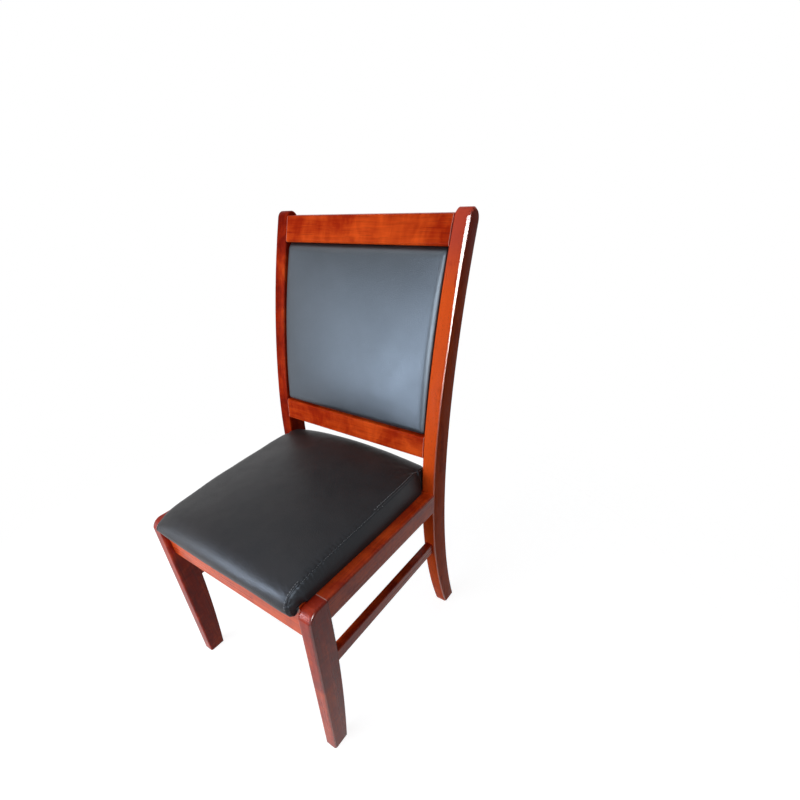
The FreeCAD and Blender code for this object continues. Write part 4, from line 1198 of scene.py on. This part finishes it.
stitch_rows = [topstitch_line(seat, seam, side) for side, seam in zip((-1, 1), seams)]
seat_stitching = stitches("seat_stitching", stitch_rows)
paint(seat_stitching, thread_material())
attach(seat_stitching, "root")

back = build_back_pad()
paint(back, back_leather)
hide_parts("back_cover", "back_foam", "back_rear_cover")
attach(back, "root")

cloth_piece, cloth_size = underlining()
paint(cloth_piece, dust_cloth())
dress(["seat_dust_cover"], dust_cloth())
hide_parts("seat_dust_cover")
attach(cloth_piece, "root")


# Floor, background, lamps and camera

FLOOR_RADIUS = 3.0
FLOOR_GREY = (0.32, 0.32, 0.32, 1)
FLOOR_SEEN_GREY = (0.34, 0.34, 0.34, 1)
FLOOR_GLOW = 0.90
FLOOR_FADE = (0.75, 1.3)
WHITE = (1, 1, 1, 1)
WORLD_TINT = (0.93, 0.96, 1.0, 1)
WORLD_LIGHT = 0.10


def build_floor():
    """A pale floor that keeps the shadow, and ends in the white background."""
    bpy.ops.mesh.primitive_circle_add(vertices=96, radius=FLOOR_RADIUS, fill_type="NGON")
    floor = bpy.context.active_object
    floor.name = "floor"
    make = material_nodes("floor")
    seen = make.seen()
    plain = make.joined("ShaderNodeBsdfDiffuse", FLOOR_GREY)
    shaded = make.joined("ShaderNodeBsdfDiffuse", FLOOR_SEEN_GREY)
    lit = make.joined("ShaderNodeEmission", WHITE, FLOOR_GLOW)
    bright = make.joined("ShaderNodeAddShader", shaded, lit)
    chosen = make.joined("ShaderNodeMixShader", seen, plain, bright)
    axes = make.split()
    away = make.maths("SQRT", make.maths("ADD", make.maths("POWER", axes[0], 2.0),
                                         make.maths("POWER", axes[1], 2.0)))
    outside = make.maths("MULTIPLY", make.reach(away, FLOOR_FADE), seen)
    clear = make.joined("ShaderNodeBsdfTransparent")
    faded = make.joined("ShaderNodeMixShader", outside, chosen, clear)
    floor.data.materials.append(make.surface(faded))


def build_world():
    """White where the camera looks, and a faint light on the chair."""
    world = bpy.data.worlds.new("studio")
    bpy.context.scene.world = world
    make = Nodes(world, "ShaderNodeOutputWorld")
    soft = make.joined("ShaderNodeBackground", WORLD_TINT, WORLD_LIGHT)
    white = make.joined("ShaderNodeBackground", WHITE, 1.0)
    make.surface(make.joined("ShaderNodeMixShader", make.seen(), soft, white))


AIM = Vector((0, 0, 0.55))

# Panels: name, azimuth, elevation, distance, width, height, radiance and colour. The sheens are
# there for reflections only.
LAMPS = [
    ("key", -24, 13, 2.4, 2.7, 1.9, 3.9, (0.92, 0.98, 1.06)),
    ("overhead", -60, 80, 1.9, 1.8, 1.8, 1.35, (1.0, 0.99, 0.97)),
]
SHEENS = [
    ("sheen_right", 6, 12, 2.3, 1.3, 1.7, 5.0, (0.90, 0.97, 1.08)),
    ("sheen_front", -19, 0, 0.97, 0.18, 0.34, 30.0, (0.88, 0.96, 1.08)),
    ("glint", 62, 14, 2.2, 0.55, 1.5, 32.0, (1.0, 1.0, 1.0)),
]


def lamp(name, azimuth, elevation, distance, wide, high, radiance, colour):
    """A soft panel that faces the chair. Azimuth 0 is in front of it and 90 at its right."""
    light = bpy.data.lights.new(name, "AREA")
    light.shape = "RECTANGLE"
    light.size = wide
    light.size_y = high
    light.energy = radiance * math.pi * wide * high
    light.color = colour
    turn = math.radians(azimuth)
    rise = math.radians(elevation)
    direction = Vector((math.sin(turn) * math.cos(rise), -math.cos(turn) * math.cos(rise),
                        math.sin(rise)))
    holder = add_object(name, light)
    holder.location = AIM + direction * distance
    holder.rotation_euler = (-direction).to_track_quat("-Z", "Y").to_euler()
    return holder


CAMERA_PLACE = Vector((0.601744, -0.510960, 0.963298))
CAMERA_YAW = 36.85671
CAMERA_PITCH = -36.04681
CAMERA_ROLL = -3.21816
FOCAL_PIXELS = 424.3589
MIDDLE_ACROSS = 393.8248
MIDDLE_DOWN = 494.8509
FRAME_PIXELS = 800.0
SENSOR = 36.0


def build_camera():
    yaw = math.radians(CAMERA_YAW)
    pitch = math.radians(CAMERA_PITCH)
    roll = math.radians(CAMERA_ROLL)
    right = Vector((math.cos(yaw), math.sin(yaw), 0))
    ahead = Vector((-math.sin(yaw) * math.cos(pitch), math.cos(yaw) * math.cos(pitch),
                    math.sin(pitch)))
    up = right.cross(ahead)
    rolled_right = right * math.cos(roll) + up * math.sin(roll)
    rolled_up = up * math.cos(roll) - right * math.sin(roll)
    data = bpy.data.cameras.new("camera")
    data.sensor_fit = "HORIZONTAL"
    data.sensor_width = SENSOR
    data.lens = FOCAL_PIXELS * SENSOR / FRAME_PIXELS
    data.shift_x = (FRAME_PIXELS / 2 - MIDDLE_ACROSS) / FRAME_PIXELS
    data.shift_y = (MIDDLE_DOWN - FRAME_PIXELS / 2) / FRAME_PIXELS
    data.clip_start = 0.01
    camera = add_object("camera", data)
    turned = Matrix((rolled_right, rolled_up, -ahead)).transposed().to_4x4()
    camera.matrix_world = Matrix.Translation(CAMERA_PLACE) @ turned
    bpy.context.scene.camera = camera


build_floor()
build_world()
for panel in LAMPS:
    lamp(*panel)
for panel in SHEENS:
    lamp(*panel).visible_diffuse = False
build_camera()
bpy.context.scene.view_settings.view_transform = "Standard"
